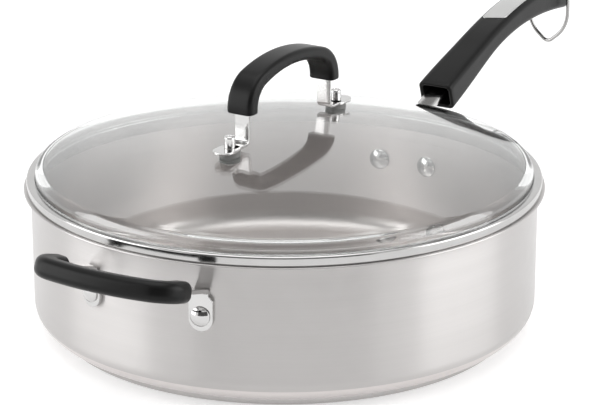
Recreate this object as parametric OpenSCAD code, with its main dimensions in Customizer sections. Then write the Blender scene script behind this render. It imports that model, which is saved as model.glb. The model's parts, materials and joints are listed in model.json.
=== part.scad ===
// Covered saute pan: straight steel wall, bonded base, domed glass lid, riveted handles.
// Origin: centre of the base's underside. +X runs along the long handle, +Z is up.

/* [Pan] */
// Outer radius of the straight wall
pan_r = 146; // [120:1:170]
// Height from the base's underside to the top of the lip
pan_h = 84.4; // [78:0.2:110]
// Thickness of the drawn steel sheet
sheet_t = 1.2; // [0.8:0.1:2]
// Outer radius of the corner between wall and floor
corner_r = 13; // [8:0.5:20]
// How far the lip reaches out past the wall
lip_reach = 4; // [3.6:0.1:6]
// Radius of the inner bend under the lip
lip_bend_r = 3; // [2.2:0.1:3.2]

/* [Base] */
// Height of the bonded base
base_h = 4.5; // [3.5:0.1:7]
// How far the base lies inside the wall
base_inset = 12.2; // [11:0.1:20]
// Thickness of the steel cap around the base
cap_t = 0.8; // [0.5:0.1:1.2]
// Radius of the cap's lower edge
cap_edge_r = 2.2; // [1.2:0.1:3]

/* [Lid] */
// Thickness of the glass
glass_t = 4; // [3:0.1:5]
// Height of the dome's crown above the lip
crown_h = 32.3; // [24:0.1:40]
// Radius of curvature of the dome's outside
dome_r = 506; // [420:1:700]
// Outer radius of the dome's shoulder
shoulder_r = 5; // [4.2:0.1:7]
// Thickness of the band's steel sheet
band_t = 0.8; // [0.5:0.1:1]
// How far the band's outside lies inside the lip's edge
band_inset = 1.6; // [1.4:0.1:2]
// Width of the band's top flange
band_flange = 5; // [4:0.1:6]
// Depth of the skirt below the lip
skirt_h = 8; // [5:0.5:12]
// Gap between the skirt and the pan's wall
skirt_gap = 0.7; // [0.5:0.1:1.5]

/* [Lid handle] */
// Turn of the lid on the pan
lid_turn = -1.6; // [-20:0.2:20]
// Distance of each fixing from the lid's centre
fixing_x = 56; // [54:0.5:70]
// Distance of each leg's middle from the lid's centre
leg_x = 43; // [38:0.2:45]
// Height of the arch's middle above the lip
arch_h = 73.6; // [70:0.2:84]
// Height of the grip's open ends above the lip
arch_end_h = 50.4; // [47:0.2:51]
// Radius of the arch's corners
arch_corner_r = 17; // [12:0.5:18]
// Height of the arch's corner centres over the grip's open ends
arch_straight = 2; // [0.5:0.5:3]
// Width of the lid grip
arch_w = 16.8; // [14:0.2:22]
// Thickness of the lid grip at its open ends
arch_t = 9.2; // [8:0.2:12]
// Thickness of the lid grip at its middle
arch_crown_t = 7.2; // [6:0.2:10]
// Radius of the lid grip's long edges
arch_edge_r = 2.8; // [2:0.2:3.4]
// Width of the steel strap in the lid grip
arch_strap_w = 9.2; // [6:0.2:10]
// Thickness of the steel strap in the lid grip
arch_strap_t = 1.6; // [1.2:0.1:2.5]
// Width of the strap's feet
arch_foot_w = 12.4; // [12:0.2:16]
// How far each foot runs past its fixing
arch_foot_reach = 12; // [9:0.5:18]
// Radius inside the bend between leg and foot
foot_bend_r = 2.6; // [1:0.2:4]

/* [Lid fixings] */
// Diameter of the barrel nut above the foot
barrel_d = 6.4; // [6:0.1:8]
// Height of the barrel nut above the foot
barrel_h = 6.8; // [6:0.1:10]
// Diameter of the barrel nut's neck
neck_d = 5; // [4.6:0.1:5.4]
// Diameter of the screw
screw_d = 3.4; // [3:0.1:3.6]
// Diameter of the screw's head
screw_head_d = 9; // [7:0.5:10]
// Height of the screw's head
screw_head_h = 2.2; // [1.5:0.1:3]
// Diameter of the gaskets
gasket_d = 12; // [10:0.5:14]
// Thickness of the gaskets under the feet
gasket_t = 3; // [1.8:0.1:3.4]
// Thickness of the washers under the glass
washer_t = 2; // [1.6:0.1:3]
// Wall of the gaskets' collars in the glass
collar_t = 1.2; // [0.8:0.1:1.6]

/* [Long handle] */
// Upward slope of the handle's straight part
handle_slope = 19.5; // [14:0.5:24]
// Distance from the pan's axis to the grip's open end
grip_start = 187; // [180:1:196]
// Height of the grip's middle at its open end
grip_start_h = 88; // [84:0.2:92]
// Length of the grip's straight part along the slope
grip_straight = 56; // [52:1:70]
// Radius of the grip's downward curve
grip_curve_r = 255; // [220:1:320]
// Distance from the pan's axis to the grip's tip
grip_end = 372; // [362:1:385]
// Width of the grip at its open end
grip_front_w = 23.4; // [22:0.2:28]
// Thickness of the grip at its open end
grip_front_t = 18; // [15:0.2:20]
// Width of the grip at its waist
grip_waist_w = 21.2; // [20:0.2:24]
// Thickness of the grip at its waist
grip_waist_t = 13.8; // [11:0.2:15]
// Width of the grip near its tip
grip_tip_w = 21; // [20:0.2:26]
// Thickness of the grip near its tip
grip_tip_t = 18; // [15:0.2:19]
// Radius of the grip's long edges
grip_edge_r = 3.6; // [2.5:0.1:5]
// Wall around the hollow at the grip's open end
grip_wall = 2.6; // [2:0.1:3]
// Depth of the hollow at the grip's open end
grip_hollow = 16; // [10:1:20]

/* [Handle bracket] */
// Width of the tang
tang_w = 12; // [12:0.5:17]
// Thickness of the bracket
tang_t = 3; // [2:0.1:3.4]
// Height of the tang's middle over the grip's middle
tang_rise = 1.6; // [0:0.1:2]
// Length of the tang inside the grip
tang_grip = 44; // [30:1:48]
// Spacing of the two rivets across the handle
rivet_spread = 33.8; // [30:0.2:40]
// Height of all rivets above the base's underside
rivet_h = 54.6; // [50:0.2:58]

/* [Rivets] */
// Diameter of the rivet shanks
shank_d = 5; // [4:0.1:6]
// Diameter of the long handle's rivet heads
rivet_head_d = 13; // [10:0.5:14]
// Height of the long handle's rivet heads
rivet_head_h = 3.4; // [2:0.1:4]
// Diameter of the helper handle's rivet heads
helper_head_d = 11; // [9:0.5:12]
// Height of the helper handle's rivet heads
helper_head_h = 3.2; // [2:0.1:4]

/* [Inlay] */
// Distance from the pan's axis to the inlay's front edge
inlay_start = 268; // [262:1:285]
// Distance from the inlay's rear edge to the grip's tip
inlay_end_inset = 7; // [6:0.5:12]
// Width of the inlay
inlay_w = 15.6; // [13:0.2:16.2]
// How far the inlay's front edge slants from side to side
inlay_slant = 4; // [0:0.5:8]
// Thickness of the inlay
inlay_t = 1.2; // [0.8:0.1:1.6]
// How far the inlay stands out of the grip
inlay_proud = 0.3; // [0.2:0.05:0.5]

/* [Hanging loop] */
// Diameter of the wire
wire_d = 2.4; // [2:0.1:3]
// Distance from the grip's tip to the loop's pivot
pivot_inset = 19.5; // [17:0.5:24]
// Height from the pivot down to the middle of the wire at the bottom
loop_drop = 32.8; // [30:0.2:40]
// Depth below the pivot where the legs start to bend inward
loop_leg = 11.8; // [8:0.2:14]
// Radius of the legs' inward bend
loop_bend_r = 22; // [20:1:26]
// Radius of the loop's bottom
loop_tip_r = 5; // [4:0.2:7]
// Gap between the grip's side and the wire's elbow
elbow_gap = 1.2; // [0.3:0.1:2]
// Radius of the wire's elbows
elbow_r = 2.8; // [1.8:0.1:3.4]
// Length of each pin inside the grip
pin_length = 5; // [3:0.5:8]

/* [Helper handle] */
// Half the angle between the two arms
helper_half_angle = 13.8; // [11:0.2:17]
// Upward slope of the arms
helper_slope = 17.4; // [8:0.2:22]
// Angle by which each arm turns inward from the wall's normal
helper_toe = 6.5; // [0:0.5:9]
// Distance from the wall to the middle of the grip
helper_reach = 39.6; // [34:0.2:50]
// Radius of the grip's corners
helper_corner_r = 9.5; // [8:0.5:12]
// Width of the grip, outward from the pan
helper_grip_w = 13; // [12:0.5:16]
// Thickness of the grip
helper_grip_t = 11.6; // [10:0.2:14]
// Radius of the grip's long edges
helper_edge_r = 4.4; // [3:0.1:5]
// Length of the grip's sleeve on each arm
helper_sleeve = 7.5; // [4:0.5:12]
// Width of the steel strap
helper_strap_w = 9; // [7:0.5:10]
// Thickness of the steel strap
helper_strap_t = 2.4; // [1.6:0.1:3]
// Width of the strap's feet
helper_foot_w = 13.6; // [12:0.2:18]
// Length of each foot below its rivet
helper_foot_drop = 8.6; // [7.5:0.1:12]
// Length of each foot above its rivet
helper_foot_rise = 11.9; // [9:0.1:16]

/* [Fits] */
// Gap between curved faces that rest on each other
seat_gap = 0.03; // [0.01:0.01:0.1]
// Gap all round in the slots that hold the straps and the tang
slot_gap = 0.05; // [0.02:0.01:0.2]
// Gap all round between a shank and its hole
hole_gap = 0.1; // [0.05:0.05:0.3]
// Gap all round between the wire and its bore
pivot_gap = 0.08; // [0.04:0.01:0.1]
// How far the stretches of one bent piece run into each other
lap = 0.1; // [0.05:0.05:0.3]
// How far a bend's skin lies under that of the straight stretches it joins
bend_slim = 0.02; // [0.01:0.01:0.05]
// Radius of the straps' long edges
strap_edge_r = 0.3; // [0.2:0.05:0.4]

/* [Hidden] */
$fn = 96;

// Pan
wall_in = pan_r - sheet_t;
lip_r = pan_r + lip_reach;
floor_z = base_h + sheet_t;
base_r = pan_r - base_inset;
// Lid
band_r = lip_r - band_inset;
skirt_r = wall_in - skirt_gap;
flange_z = pan_h + band_t;
glass_edge_r = band_r - band_t - hole_gap;
dome_wall_r = band_r - band_flange - hole_gap;
crown_z = pan_h + crown_h;
// Lid handle
glass_tilt = asin(fixing_x / dome_r);
fixing_z = crown_z - dome_r + sqrt(pow(dome_r, 2) - pow(fixing_x, 2));
washer_z = -(glass_t + washer_t) / cos(glass_tilt);
glass_hole_d = neck_d + 4 * hole_gap + 2 * collar_t;
collar_lift = 0.5;
arch_z = pan_h + arch_h;
arch_end_z = pan_h + arch_end_h;
arch_corner_z = arch_end_z + arch_straight;
arch_corner_x = leg_x - arch_corner_r;
arch_rise = arch_z - arch_corner_z;
arch_crown_r = (pow(arch_corner_x, 2) + pow(arch_rise, 2) - pow(arch_corner_r, 2))
    / (2 * (arch_rise - arch_corner_r));
arch_crown_z = arch_z - arch_crown_r;
arch_crown_angle = atan(arch_corner_x / (arch_corner_z - arch_crown_z));
// Long handle
grip_bend_x = grip_start + grip_straight * cos(handle_slope);
grip_bend_h = grip_start_h + grip_straight * sin(handle_slope);
curve_x = grip_bend_x + grip_curve_r * sin(handle_slope);
curve_z = grip_bend_h - grip_curve_r * cos(handle_slope);
tip_angle = asin((grip_end - curve_x) / grip_curve_r);
grip_length = grip_straight + grip_curve_r * (handle_slope + tip_angle) * PI / 180;
waist_at = 0.41;
tip_round = 13;
grip_steps = 44;
edge_steps = 6;
// Bracket
tang_bend_r = 3;
tang_bend_mid = tang_bend_r + tang_t / 2;
tang_bend_x = pan_r + seat_gap + tang_t + tang_bend_r + 2 * bend_slim;
tang_out_x = tang_bend_x - tang_bend_mid * sin(handle_slope);
tang_out_z = grip_start_h + tang_rise / cos(handle_slope)
    - (grip_start - tang_out_x) * tan(handle_slope);
bracket_top = tang_out_z - tang_bend_mid * cos(handle_slope);
tang_length = (grip_start - tang_out_x) / cos(handle_slope) - tang_rise * tan(handle_slope)
    + tang_grip;
rivet_angle = asin(rivet_spread / 2 / pan_r);
bracket_pad_r = rivet_head_d / 2 + 1.5;
pad_rise = 0.6 * bracket_pad_r;
pad_side = rivet_spread / 2 + pad_rise;
// Loop
pivot_x = grip_end - pivot_inset;
pivot_z = curve_z + sqrt(pow(grip_curve_r, 2) - pow(pivot_x - curve_x, 2));
elbow_y = grip_tip_w / 2 + elbow_gap;
leg_y = elbow_y + elbow_r;
loop_tip_z = loop_tip_r - loop_drop;
loop_dy = leg_y - loop_bend_r;
loop_dz = -loop_leg - loop_tip_z;
loop_lean = acos((loop_tip_r - loop_bend_r) / norm([loop_dy, loop_dz])) - atan2(loop_dz, loop_dy);
bend_steps = 6;
// Helper handle
helper_bend_r = 2;
helper_foot_taper = 3;
corner_steps = 8;
helper_bend_mid = helper_bend_r + helper_strap_t / 2;
helper_bend_x = pan_r + seat_gap + helper_strap_t + helper_bend_r;
helper_foot_top = rivet_h + helper_foot_rise;
helper_out_x = helper_bend_x - helper_bend_mid * sin(helper_slope);
helper_out_z = helper_foot_top + helper_bend_mid * cos(helper_slope);
helper_run = (pan_r + helper_reach - helper_out_x) / cos(helper_slope);
helper_arm = (helper_run - helper_corner_r * (1 - sin(helper_toe))) / cos(helper_toe);
helper_side = helper_arm * sin(helper_toe) + helper_corner_r * cos(helper_toe);
helper_bar_r = norm([pan_r + helper_reach, helper_side]);
helper_bar_z = helper_out_z + helper_run * sin(helper_slope);
helper_bar_angle = helper_half_angle - atan(helper_side / (pan_r + helper_reach));

steel = [0.78, 0.78, 0.78];
bright = [0.86, 0.86, 0.87];
black = [0.13, 0.13, 0.14];
glass = [0.82, 0.86, 0.86, 0.35];

// Rectangle with round corners, centred, from true arcs
module rounded(w, h, r) {
    square([w - 2 * r, h], center = true);
    square([w, h - 2 * r], center = true);
    for (x = [-1, 1], y = [-1, 1])
        translate([x * (w / 2 - r), y * (h / 2 - r)]) circle(r = r);
}

// Ring of points of a rounded rectangle round p, w wide along u and t thick along v
function ring(p, u, v, w, t, r) = let (b = w / 2, h = t / 2, c = min(r, 0.98 * min(b, h)))
    [for (q = [0:3], i = [0:edge_steps]) let (
        a = 90 * q + 90 * i / edge_steps,
        m = (q == 0 || q == 3 ? b - c : c - b) + c * cos(a),
        n = (q < 2 ? h - c : c - h) + c * sin(a))
        p + m * u + n * v];

// The same ring in the plane of an arch or grip, with its thickness along the angle a
function side_ring(x, z, a, w, t, r) = ring([x, 0, z], [0, 1, 0], [cos(a), 0, sin(a)], w, t, r);

// Closed skin over a row of such rings, each facing the way from u to v by the right hand
module skin(rings) {
    n = len(rings[0]);
    last = len(rings) - 1;
    polyhedron([for (r = rings) each r], concat(
        [[for (j = [0:n - 1]) j]],
        [for (k = [0:last - 1], j = [0:n - 1])
            [k * n + j, (k + 1) * n + j, (k + 1) * n + (j + 1) % n, k * n + (j + 1) % n]],
        [[for (j = [0:n - 1]) last * n + n - 1 - j]]), convexity = 6);
}

// Half outline of a filled cup with a round lower corner
module cup_fill(r, corner, z0, z1) {
    translate([0, z0 + corner]) square([r, z1 - z0 - corner]);
    translate([0, z0]) square([r - corner, z1 - z0]);
    intersection() {
        translate([r - corner, z0 + corner]) circle(r = corner);
        translate([0, z0]) square([r, corner]);
    }
}

// Half outline of a filled dome: a shallow cap, a round shoulder and a straight side
module dome_fill(side_r, top_z, cap_r, shoulder, z0) {
    centre_z = top_z - cap_r;
    shoulder_x = side_r - shoulder;
    shoulder_z = centre_z + sqrt(pow(cap_r - shoulder, 2) - pow(shoulder_x, 2));
    intersection() {
        translate([0, centre_z]) circle(r = cap_r, $fn = 360);
        translate([0, z0]) square([shoulder_x * cap_r / (cap_r - shoulder), top_z - z0]);
    }
    translate([0, z0]) square([side_r, shoulder_z - z0]);
    translate([shoulder_x, shoulder_z]) circle(r = shoulder);
}

// Half outline of a domed head: a short rim and a shallow cap, rising from y = 0
module head_fill(d, h) {
    rim = 0.25 * h;
    cap = (pow(d / 2, 2) + pow(h - rim, 2)) / (2 * (h - rim));
    square([d / 2, rim]);
    intersection() {
        translate([0, h - cap]) circle(r = cap);
        square([d / 2, h]);
    }
}

// Rivet through the pan's wall and a plate, along the direction given by angle.
// Each flat-backed head sits where it first meets the curved sheet.
module rivet(angle, plate_t, d, h) {
    outer = pan_r + 2 * seat_gap + plate_t;
    inner = sqrt(pow(wall_in - seat_gap, 2) - pow(d / 2, 2));
    translate([0, 0, rivet_h]) rotate([0, 0, angle]) rotate([0, 90, 0]) rotate_extrude() {
        translate([0, inner - lap]) square([shank_d / 2, outer - inner + 2 * lap]);
        translate([0, outer]) head_fill(d, h);
        translate([0, inner]) mirror([0, 1]) head_fill(d, h);
    }
}

// Hole for a rivet in the direction given by angle
module rivet_hole(angle) {
    translate([0, 0, rivet_h]) rotate([0, 0, angle]) rotate([0, 90, 0])
        translate([0, 0, pan_r - 20]) cylinder(d = shank_d + 2 * hole_gap, h = 40);
}

// Plate that hugs the wall at +X, with the outline of its children seen from outside
module wall_plate(t) {
    intersection() {
        difference() {
            cylinder(r = pan_r + seat_gap + t, h = pan_h);
            translate([0, 0, -1]) cylinder(r = pan_r + seat_gap, h = pan_h + 2);
        }
        translate([pan_r - 20, 0, 0]) rotate([90, 0, 90]) linear_extrude(40) children();
    }
}

// Straight extrusion along Y, w wide in all, of an outline seen from the side
module across(w) {
    translate([0, w / 2, 0]) rotate([90, 0, 0]) linear_extrude(w) children();
}

// Side outline of a bend round the origin, from straight up to the slope given
module bend_side(inner_r, t, slope) intersection() {
    far = 2 * (inner_r + t);
    difference() {
        circle(r = inner_r + t);
        circle(r = inner_r);
    }
    polygon([[0, 0], [-far, 0], [-far, far], [-far * tan(slope), far]]);
}

// ---- Pan ----
module pan_body() color(steel) difference() {
    rotate_extrude() {
        difference() {
            cup_fill(pan_r, corner_r, base_h, pan_h - lip_bend_r);
            cup_fill(wall_in, corner_r - sheet_t, floor_z, pan_h + 1);
        }
        translate([wall_in + lip_bend_r, pan_h - lip_bend_r]) intersection() {
            difference() {
                circle(r = lip_bend_r);
                circle(r = lip_bend_r - sheet_t);
            }
            translate([-lip_bend_r, 0]) square(lip_bend_r);
        }
        translate([wall_in + lip_bend_r, pan_h - sheet_t])
            square([lip_r - wall_in - lip_bend_r - sheet_t / 2, sheet_t]);
        translate([lip_r - sheet_t / 2, pan_h - sheet_t / 2]) circle(d = sheet_t);
    }
    for (s = [-1, 1]) {
        rivet_hole(s * rivet_angle);
        rivet_hole(180 + s * helper_half_angle);
    }
}

module base_core() color([0.7, 0.7, 0.72]) rotate_extrude()
    cup_fill(base_r - cap_t - seat_gap, cap_edge_r - cap_t / 2, cap_t, base_h);

module base_cap() color(bright) rotate_extrude() difference() {
    cup_fill(base_r, cap_edge_r, 0, base_h);
    cup_fill(base_r - cap_t, cap_edge_r - cap_t, cap_t, base_h + 1);
}

// ---- Lid ----
// Turns its children, which lie on the lid, with the lid
module on_lid() {
    rotate([0, 0, lid_turn]) children();
}

// Places its children where the fixing on the given side meets the dome's outside
module at_fixing(side) {
    on_lid() translate([side * fixing_x, 0, fixing_z]) children();
}

// Block whose flat face is the dome's tangent at a fixing, moved along its normal by shift
module beyond_glass(side, shift, above) {
    size = 4 * gasket_d;
    rotate([0, side * glass_tilt, 0]) translate([-size / 2, -size / 2, shift - (above ? 0 : size)])
        cube(size);
}

module lid_glass() color(glass) difference() {
    rotate_extrude() {
        difference() {
            dome_fill(dome_wall_r, crown_z, dome_r, shoulder_r, flange_z);
            dome_fill(dome_wall_r - glass_t, crown_z - glass_t, dome_r - glass_t,
                shoulder_r - glass_t / 2, flange_z - 1);
            translate([0, flange_z - 2]) square([dome_wall_r - glass_t, 2]);
        }
        translate([dome_wall_r - glass_t, flange_z])
            square([glass_edge_r - dome_wall_r + glass_t, glass_t]);
    }
    for (s = [-1, 1]) at_fixing(s)
        translate([0, 0, -2 * glass_t]) cylinder(d = glass_hole_d, h = 4 * glass_t);
}

module lid_band() color(bright) rotate_extrude() {
    top_z = flange_z + glass_t + seat_gap;
    translate([band_r - band_t, pan_h]) square([band_t, top_z + band_t - pan_h]);
    translate([band_r - band_flange, top_z]) square([band_flange, band_t]);
    translate([skirt_r - band_t, pan_h]) square([band_r - skirt_r + band_t, band_t]);
    translate([skirt_r - band_t, pan_h - skirt_h]) square([band_t, skirt_h + band_t]);
}

// Filled side outline of the arch, bulging by grow from its middle line
module arch_fill(grow, z0) {
    r = arch_corner_r + grow;
    for (s = [-1, 1]) translate([s * arch_corner_x, arch_corner_z]) intersection() {
        circle(r = r);
        translate([-r, -lap]) square([2 * r, r + lap]);
    }
    intersection() {
        translate([0, arch_crown_z]) circle(r = arch_crown_r + grow, $fn = 360);
        polygon([[0, arch_crown_z], [-2 * arch_corner_x, tangent_z(2 * arch_corner_x)],
            [2 * arch_corner_x, tangent_z(2 * arch_corner_x)]]);
    }
    translate([-leg_x - grow, z0]) square([2 * (leg_x + grow), arch_corner_z - z0]);
    polygon([[-leg_x, arch_corner_z - lap], [leg_x, arch_corner_z - lap],
        [arch_corner_x, arch_corner_z], [-arch_corner_x, arch_corner_z]]);
}

// Height at the distance x from the middle of the line where crown and corner meet
function tangent_z(x) = arch_crown_z + x / tan(arch_crown_angle);

// Side outline of a band of thickness t along the arch, down to the height z0
module arch_band(t, z0) difference() {
    arch_fill(t / 2, z0);
    arch_fill(-t / 2, z0 - 1);
}

// Frames along the arch's middle line: x, z and the angle of the outward normal
arch_frames = let (turn = 90 - arch_crown_angle, n = 9, m = 18) concat(
    [[-leg_x, arch_end_z, 180]],
    [for (i = [0:n]) let (a = 180 - turn * i / n)
        [-arch_corner_x + arch_corner_r * cos(a), arch_corner_z + arch_corner_r * sin(a), a]],
    [for (i = [1:m - 1]) let (a = 90 + arch_crown_angle * (1 - 2 * i / m))
        [arch_crown_r * cos(a), arch_crown_z + arch_crown_r * sin(a), a]],
    [for (i = [0:n]) let (a = turn - turn * i / n)
        [arch_corner_x + arch_corner_r * cos(a), arch_corner_z + arch_corner_r * sin(a), a]],
    [[leg_x, arch_end_z, 0]]);

// Thickness of the lid grip at the distance x from its middle
function thick_at(x) = arch_crown_t + (arch_t - arch_crown_t) * pow(x / leg_x, 2);

module lid_grip() color(black) on_lid() difference() {
    skin([for (f = arch_frames) side_ring(f[0], f[1], f[2], arch_w, thick_at(f[0]), arch_edge_r)]);
    across(arch_strap_w + 2 * slot_gap) arch_band(arch_strap_t + 2 * slot_gap, arch_end_z - 1);
}

module lid_strap() color(bright) {
    bend_x = leg_x + arch_strap_t / 2 + foot_bend_r;
    foot_z = fixing_z + gasket_t;
    bend_z = foot_z + arch_strap_t + foot_bend_r;
    bend_out = foot_bend_r + arch_strap_t;
    end_x = fixing_x + arch_foot_reach - arch_foot_w / 2;
    difference() {
        on_lid() {
            across(arch_strap_w) {
                arch_band(arch_strap_t, bend_z);
                for (s = [0, 1]) mirror([s, 0]) {
                    translate([bend_x, bend_z]) intersection() {
                        difference() {
                            circle(r = bend_out);
                            circle(r = foot_bend_r);
                        }
                        translate([-bend_out, -bend_out]) square([bend_out + lap, bend_out + lap]);
                    }
                    translate([bend_x, foot_z]) square([end_x - bend_x, arch_strap_t]);
                }
            }
            for (s = [0, 1]) mirror([s, 0, 0]) translate([0, 0, foot_z]) linear_extrude(arch_strap_t) {
                translate([fixing_x, 0]) circle(d = arch_foot_w);
                translate([end_x, 0]) circle(d = arch_foot_w);
                translate([fixing_x, -arch_foot_w / 2]) square([end_x - fixing_x, arch_foot_w]);
            }
        }
        for (s = [-1, 1]) at_fixing(s) cylinder(d = neck_d + 2 * hole_gap, h = gasket_t + 2 * arch_strap_t);
    }
}

// Seal between foot and glass, with a collar that lines the hole
module gasket(side) color(black) at_fixing(side) difference() {
    union() {
        difference() {
            translate([0, 0, -gasket_t]) cylinder(d = gasket_d, h = 2 * gasket_t);
            beyond_glass(side, seat_gap, false);
        }
        difference() {
            translate([0, 0, -2 * glass_t])
                cylinder(d = glass_hole_d - 2 * hole_gap, h = 2 * glass_t + gasket_t);
            beyond_glass(side, collar_lift - glass_t, false);
        }
    }
    translate([0, 0, -3 * glass_t]) cylinder(d = neck_d + 2 * hole_gap, h = 6 * glass_t);
}

// Seal under the glass, flat below
module washer(side) color(black) at_fixing(side) difference() {
    translate([0, 0, washer_z]) cylinder(d = gasket_d, h = -washer_z);
    beyond_glass(side, -glass_t - 2 * seat_gap, true);
    translate([0, 0, -4 * glass_t]) cylinder(d = neck_d + 2 * hole_gap, h = 6 * glass_t);
}

// Barrel nut: a tall round head on the foot and a neck through the glass
module barrel(side) color(bright) at_fixing(side) difference() {
    seat = gasket_t + arch_strap_t;
    edge_r = barrel_d / 5;
    union() {
        translate([0, 0, seat]) rotate_extrude() {
            square([barrel_d / 2, barrel_h - edge_r]);
            square([barrel_d / 2 - edge_r, barrel_h]);
            translate([barrel_d / 2 - edge_r, barrel_h - edge_r]) circle(r = edge_r);
        }
        translate([0, 0, -glass_t]) cylinder(d = neck_d, h = glass_t + seat + 1);
    }
    translate([0, 0, -2 * glass_t]) cylinder(d = screw_d + 2 * hole_gap, h = 2 * glass_t + seat + 2);
}

// Screw with a low round head, from under the lid into the barrel nut
module screw(side) color(bright) at_fixing(side) rotate_extrude() {
    translate([0, washer_z - lap]) square([screw_d / 2, gasket_t + arch_strap_t + lap - washer_z]);
    translate([0, washer_z]) mirror([0, 1]) head_fill(screw_head_d, screw_head_h);
}

module lid_gasket_left() gasket(-1);
module lid_gasket_right() gasket(1);
module lid_washer_left() washer(-1);
module lid_washer_right() washer(1);
module lid_barrel_left() barrel(-1);
module lid_barrel_right() barrel(1);
module lid_screw_left() screw(-1);
module lid_screw_right() screw(1);

// ---- Long handle ----
// Middle, slope, width and thickness of the grip at the distance s along it
function blend(x) = (1 - cos(180 * max(0, min(1, x)))) / 2;
function turned(s) = max(0, s - grip_straight) / grip_curve_r * 180 / PI;
function slope_at(s) = handle_slope - turned(s);
function mid_x(s) = s < grip_straight ? grip_start + s * cos(handle_slope)
    : curve_x - grip_curve_r * sin(slope_at(s));
function mid_z(s) = s < grip_straight ? grip_start_h + s * sin(handle_slope)
    : curve_z + grip_curve_r * cos(slope_at(s));
function swell(s, front, waist, tip) = let (f = s / grip_length)
    f < waist_at ? waist + (front - waist) * blend(1 - f / waist_at)
    : waist + (tip - waist) * blend((f - waist_at) / (0.9 - waist_at));
function closing(s) = let (d = max(0, s - grip_length + tip_round) / tip_round)
    sqrt(max(0.04, 1 - d * d));
function grip_w(s) = swell(s, grip_front_w, grip_waist_w, grip_tip_w) * closing(s);
function grip_t(s) = swell(s, grip_front_t, grip_waist_t, grip_tip_t) * closing(s);

// Distance along the grip to where its middle reaches x
function along(x) = x < grip_bend_x ? (x - grip_start) / cos(handle_slope)
    : grip_straight + (handle_slope + asin((x - curve_x) / grip_curve_r)) * PI / 180 * grip_curve_r;

// Ring of points round the grip at the distance s
function grip_ring(s) =
    side_ring(mid_x(s), mid_z(s), 90 + slope_at(s), grip_w(s), grip_t(s), grip_edge_r);

// Distances along the grip of its rings, which crowd together where the tip closes
function station(f) = grip_length * (f < 0.75 ? f / 0.75 * 0.93 : 0.93 + 0.07 * sin(360 * (f - 0.75)));

module grip_solid() skin([for (i = [0:grip_steps]) grip_ring(station(i / grip_steps))]);

// Places its children at the grip's open end, +X along its straight part
module at_grip_front() {
    translate([grip_start, 0, grip_start_h]) rotate([0, -handle_slope, 0]) children();
}

// Side outline of the inlay: from depth below the grip's top to proud above it, out to the tip
module inlay_side(depth, proud, x0, x1) {
    steps = 16;
    edge = [for (i = [0:steps]) along(x0 + (x1 - x0) * i / steps)];
    upper = [for (s = edge) let (h = swell(s, grip_front_t, grip_waist_t, grip_tip_t) / 2 + proud)
        [mid_x(s) - h * sin(slope_at(s)), mid_z(s) + h * cos(slope_at(s))]];
    lower = [for (i = [steps:-1:0]) let (s = edge[i],
        h = swell(s, grip_front_t, grip_waist_t, grip_tip_t) / 2 - depth)
        [mid_x(s) - h * sin(slope_at(s)), mid_z(s) + h * cos(slope_at(s))]];
    polygon(concat(upper, lower));
}

module inlay_shape(gap, proud) {
    x0 = inlay_start;
    x1 = grip_end - inlay_end_inset;
    corner = 3;
    edge = inlay_w / 2 - corner;
    intersection() {
        translate([0, inlay_w, 0]) rotate([90, 0, 0]) linear_extrude(2 * inlay_w)
            inlay_side(inlay_t - inlay_proud + gap, proud, x0 - inlay_slant - 2, x1 + 4);
        linear_extrude(2 * pan_h) hull() for (s = [-1, 1]) {
            translate([x0 - s * inlay_slant / 2 + corner, s * edge]) circle(r = corner + gap, $fn = 32);
            translate([x1 - corner, s * edge]) circle(r = corner + gap, $fn = 32);
        }
    }
}

module handle_grip() color(black) difference() {
    grip_solid();
    at_grip_front() {
        translate([-5, -grip_front_w / 2 + grip_wall, -grip_front_t / 2 + grip_wall])
            cube([grip_hollow + 5, grip_front_w - 2 * grip_wall, grip_front_t - 2 * grip_wall]);
        translate([0, -tang_w / 2 - slot_gap, tang_rise - tang_t / 2 - slot_gap])
            cube([tang_grip + slot_gap, tang_w + 2 * slot_gap, tang_t + 2 * slot_gap]);
    }
    translate([pivot_x, -grip_tip_w, pivot_z]) rotate([-90, 0, 0])
        cylinder(d = wire_d + 2 * pivot_gap, h = 2 * grip_tip_w);
    inlay_shape(slot_gap, 3);
}

module handle_inlay() color(bright) inlay_shape(0, inlay_proud);

module handle_bracket() color(bright) difference() {
    union() {
        wall_plate(tang_t) {
            for (s = [-1, 1]) translate([s * rivet_spread / 2, rivet_h]) circle(r = bracket_pad_r);
            translate([-rivet_spread / 2, rivet_h - bracket_pad_r])
                square([rivet_spread, 2 * bracket_pad_r]);
            polygon([[-pad_side, rivet_h], [pad_side, rivet_h], [pad_side, rivet_h + pad_rise],
                [tang_w / 2, bracket_top], [-tang_w / 2, bracket_top], [-pad_side, rivet_h + pad_rise]]);
            translate([-tang_w / 2, bracket_top - lap]) square([tang_w, 2 * lap]);
        }
        across(tang_w) translate([tang_bend_x, bracket_top]) {
            bend_side(tang_bend_r + bend_slim, tang_t - 2 * bend_slim, handle_slope);
            rotate(handle_slope) translate([-lap, tang_bend_r]) square([tang_length + lap, tang_t]);
        }
    }
    for (s = [-1, 1]) rivet_hole(s * rivet_angle);
}

module handle_rivet_left() color(bright) rivet(rivet_angle, tang_t, rivet_head_d, rivet_head_h);
module handle_rivet_right() color(bright) rivet(-rivet_angle, tang_t, rivet_head_d, rivet_head_h);

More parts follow.
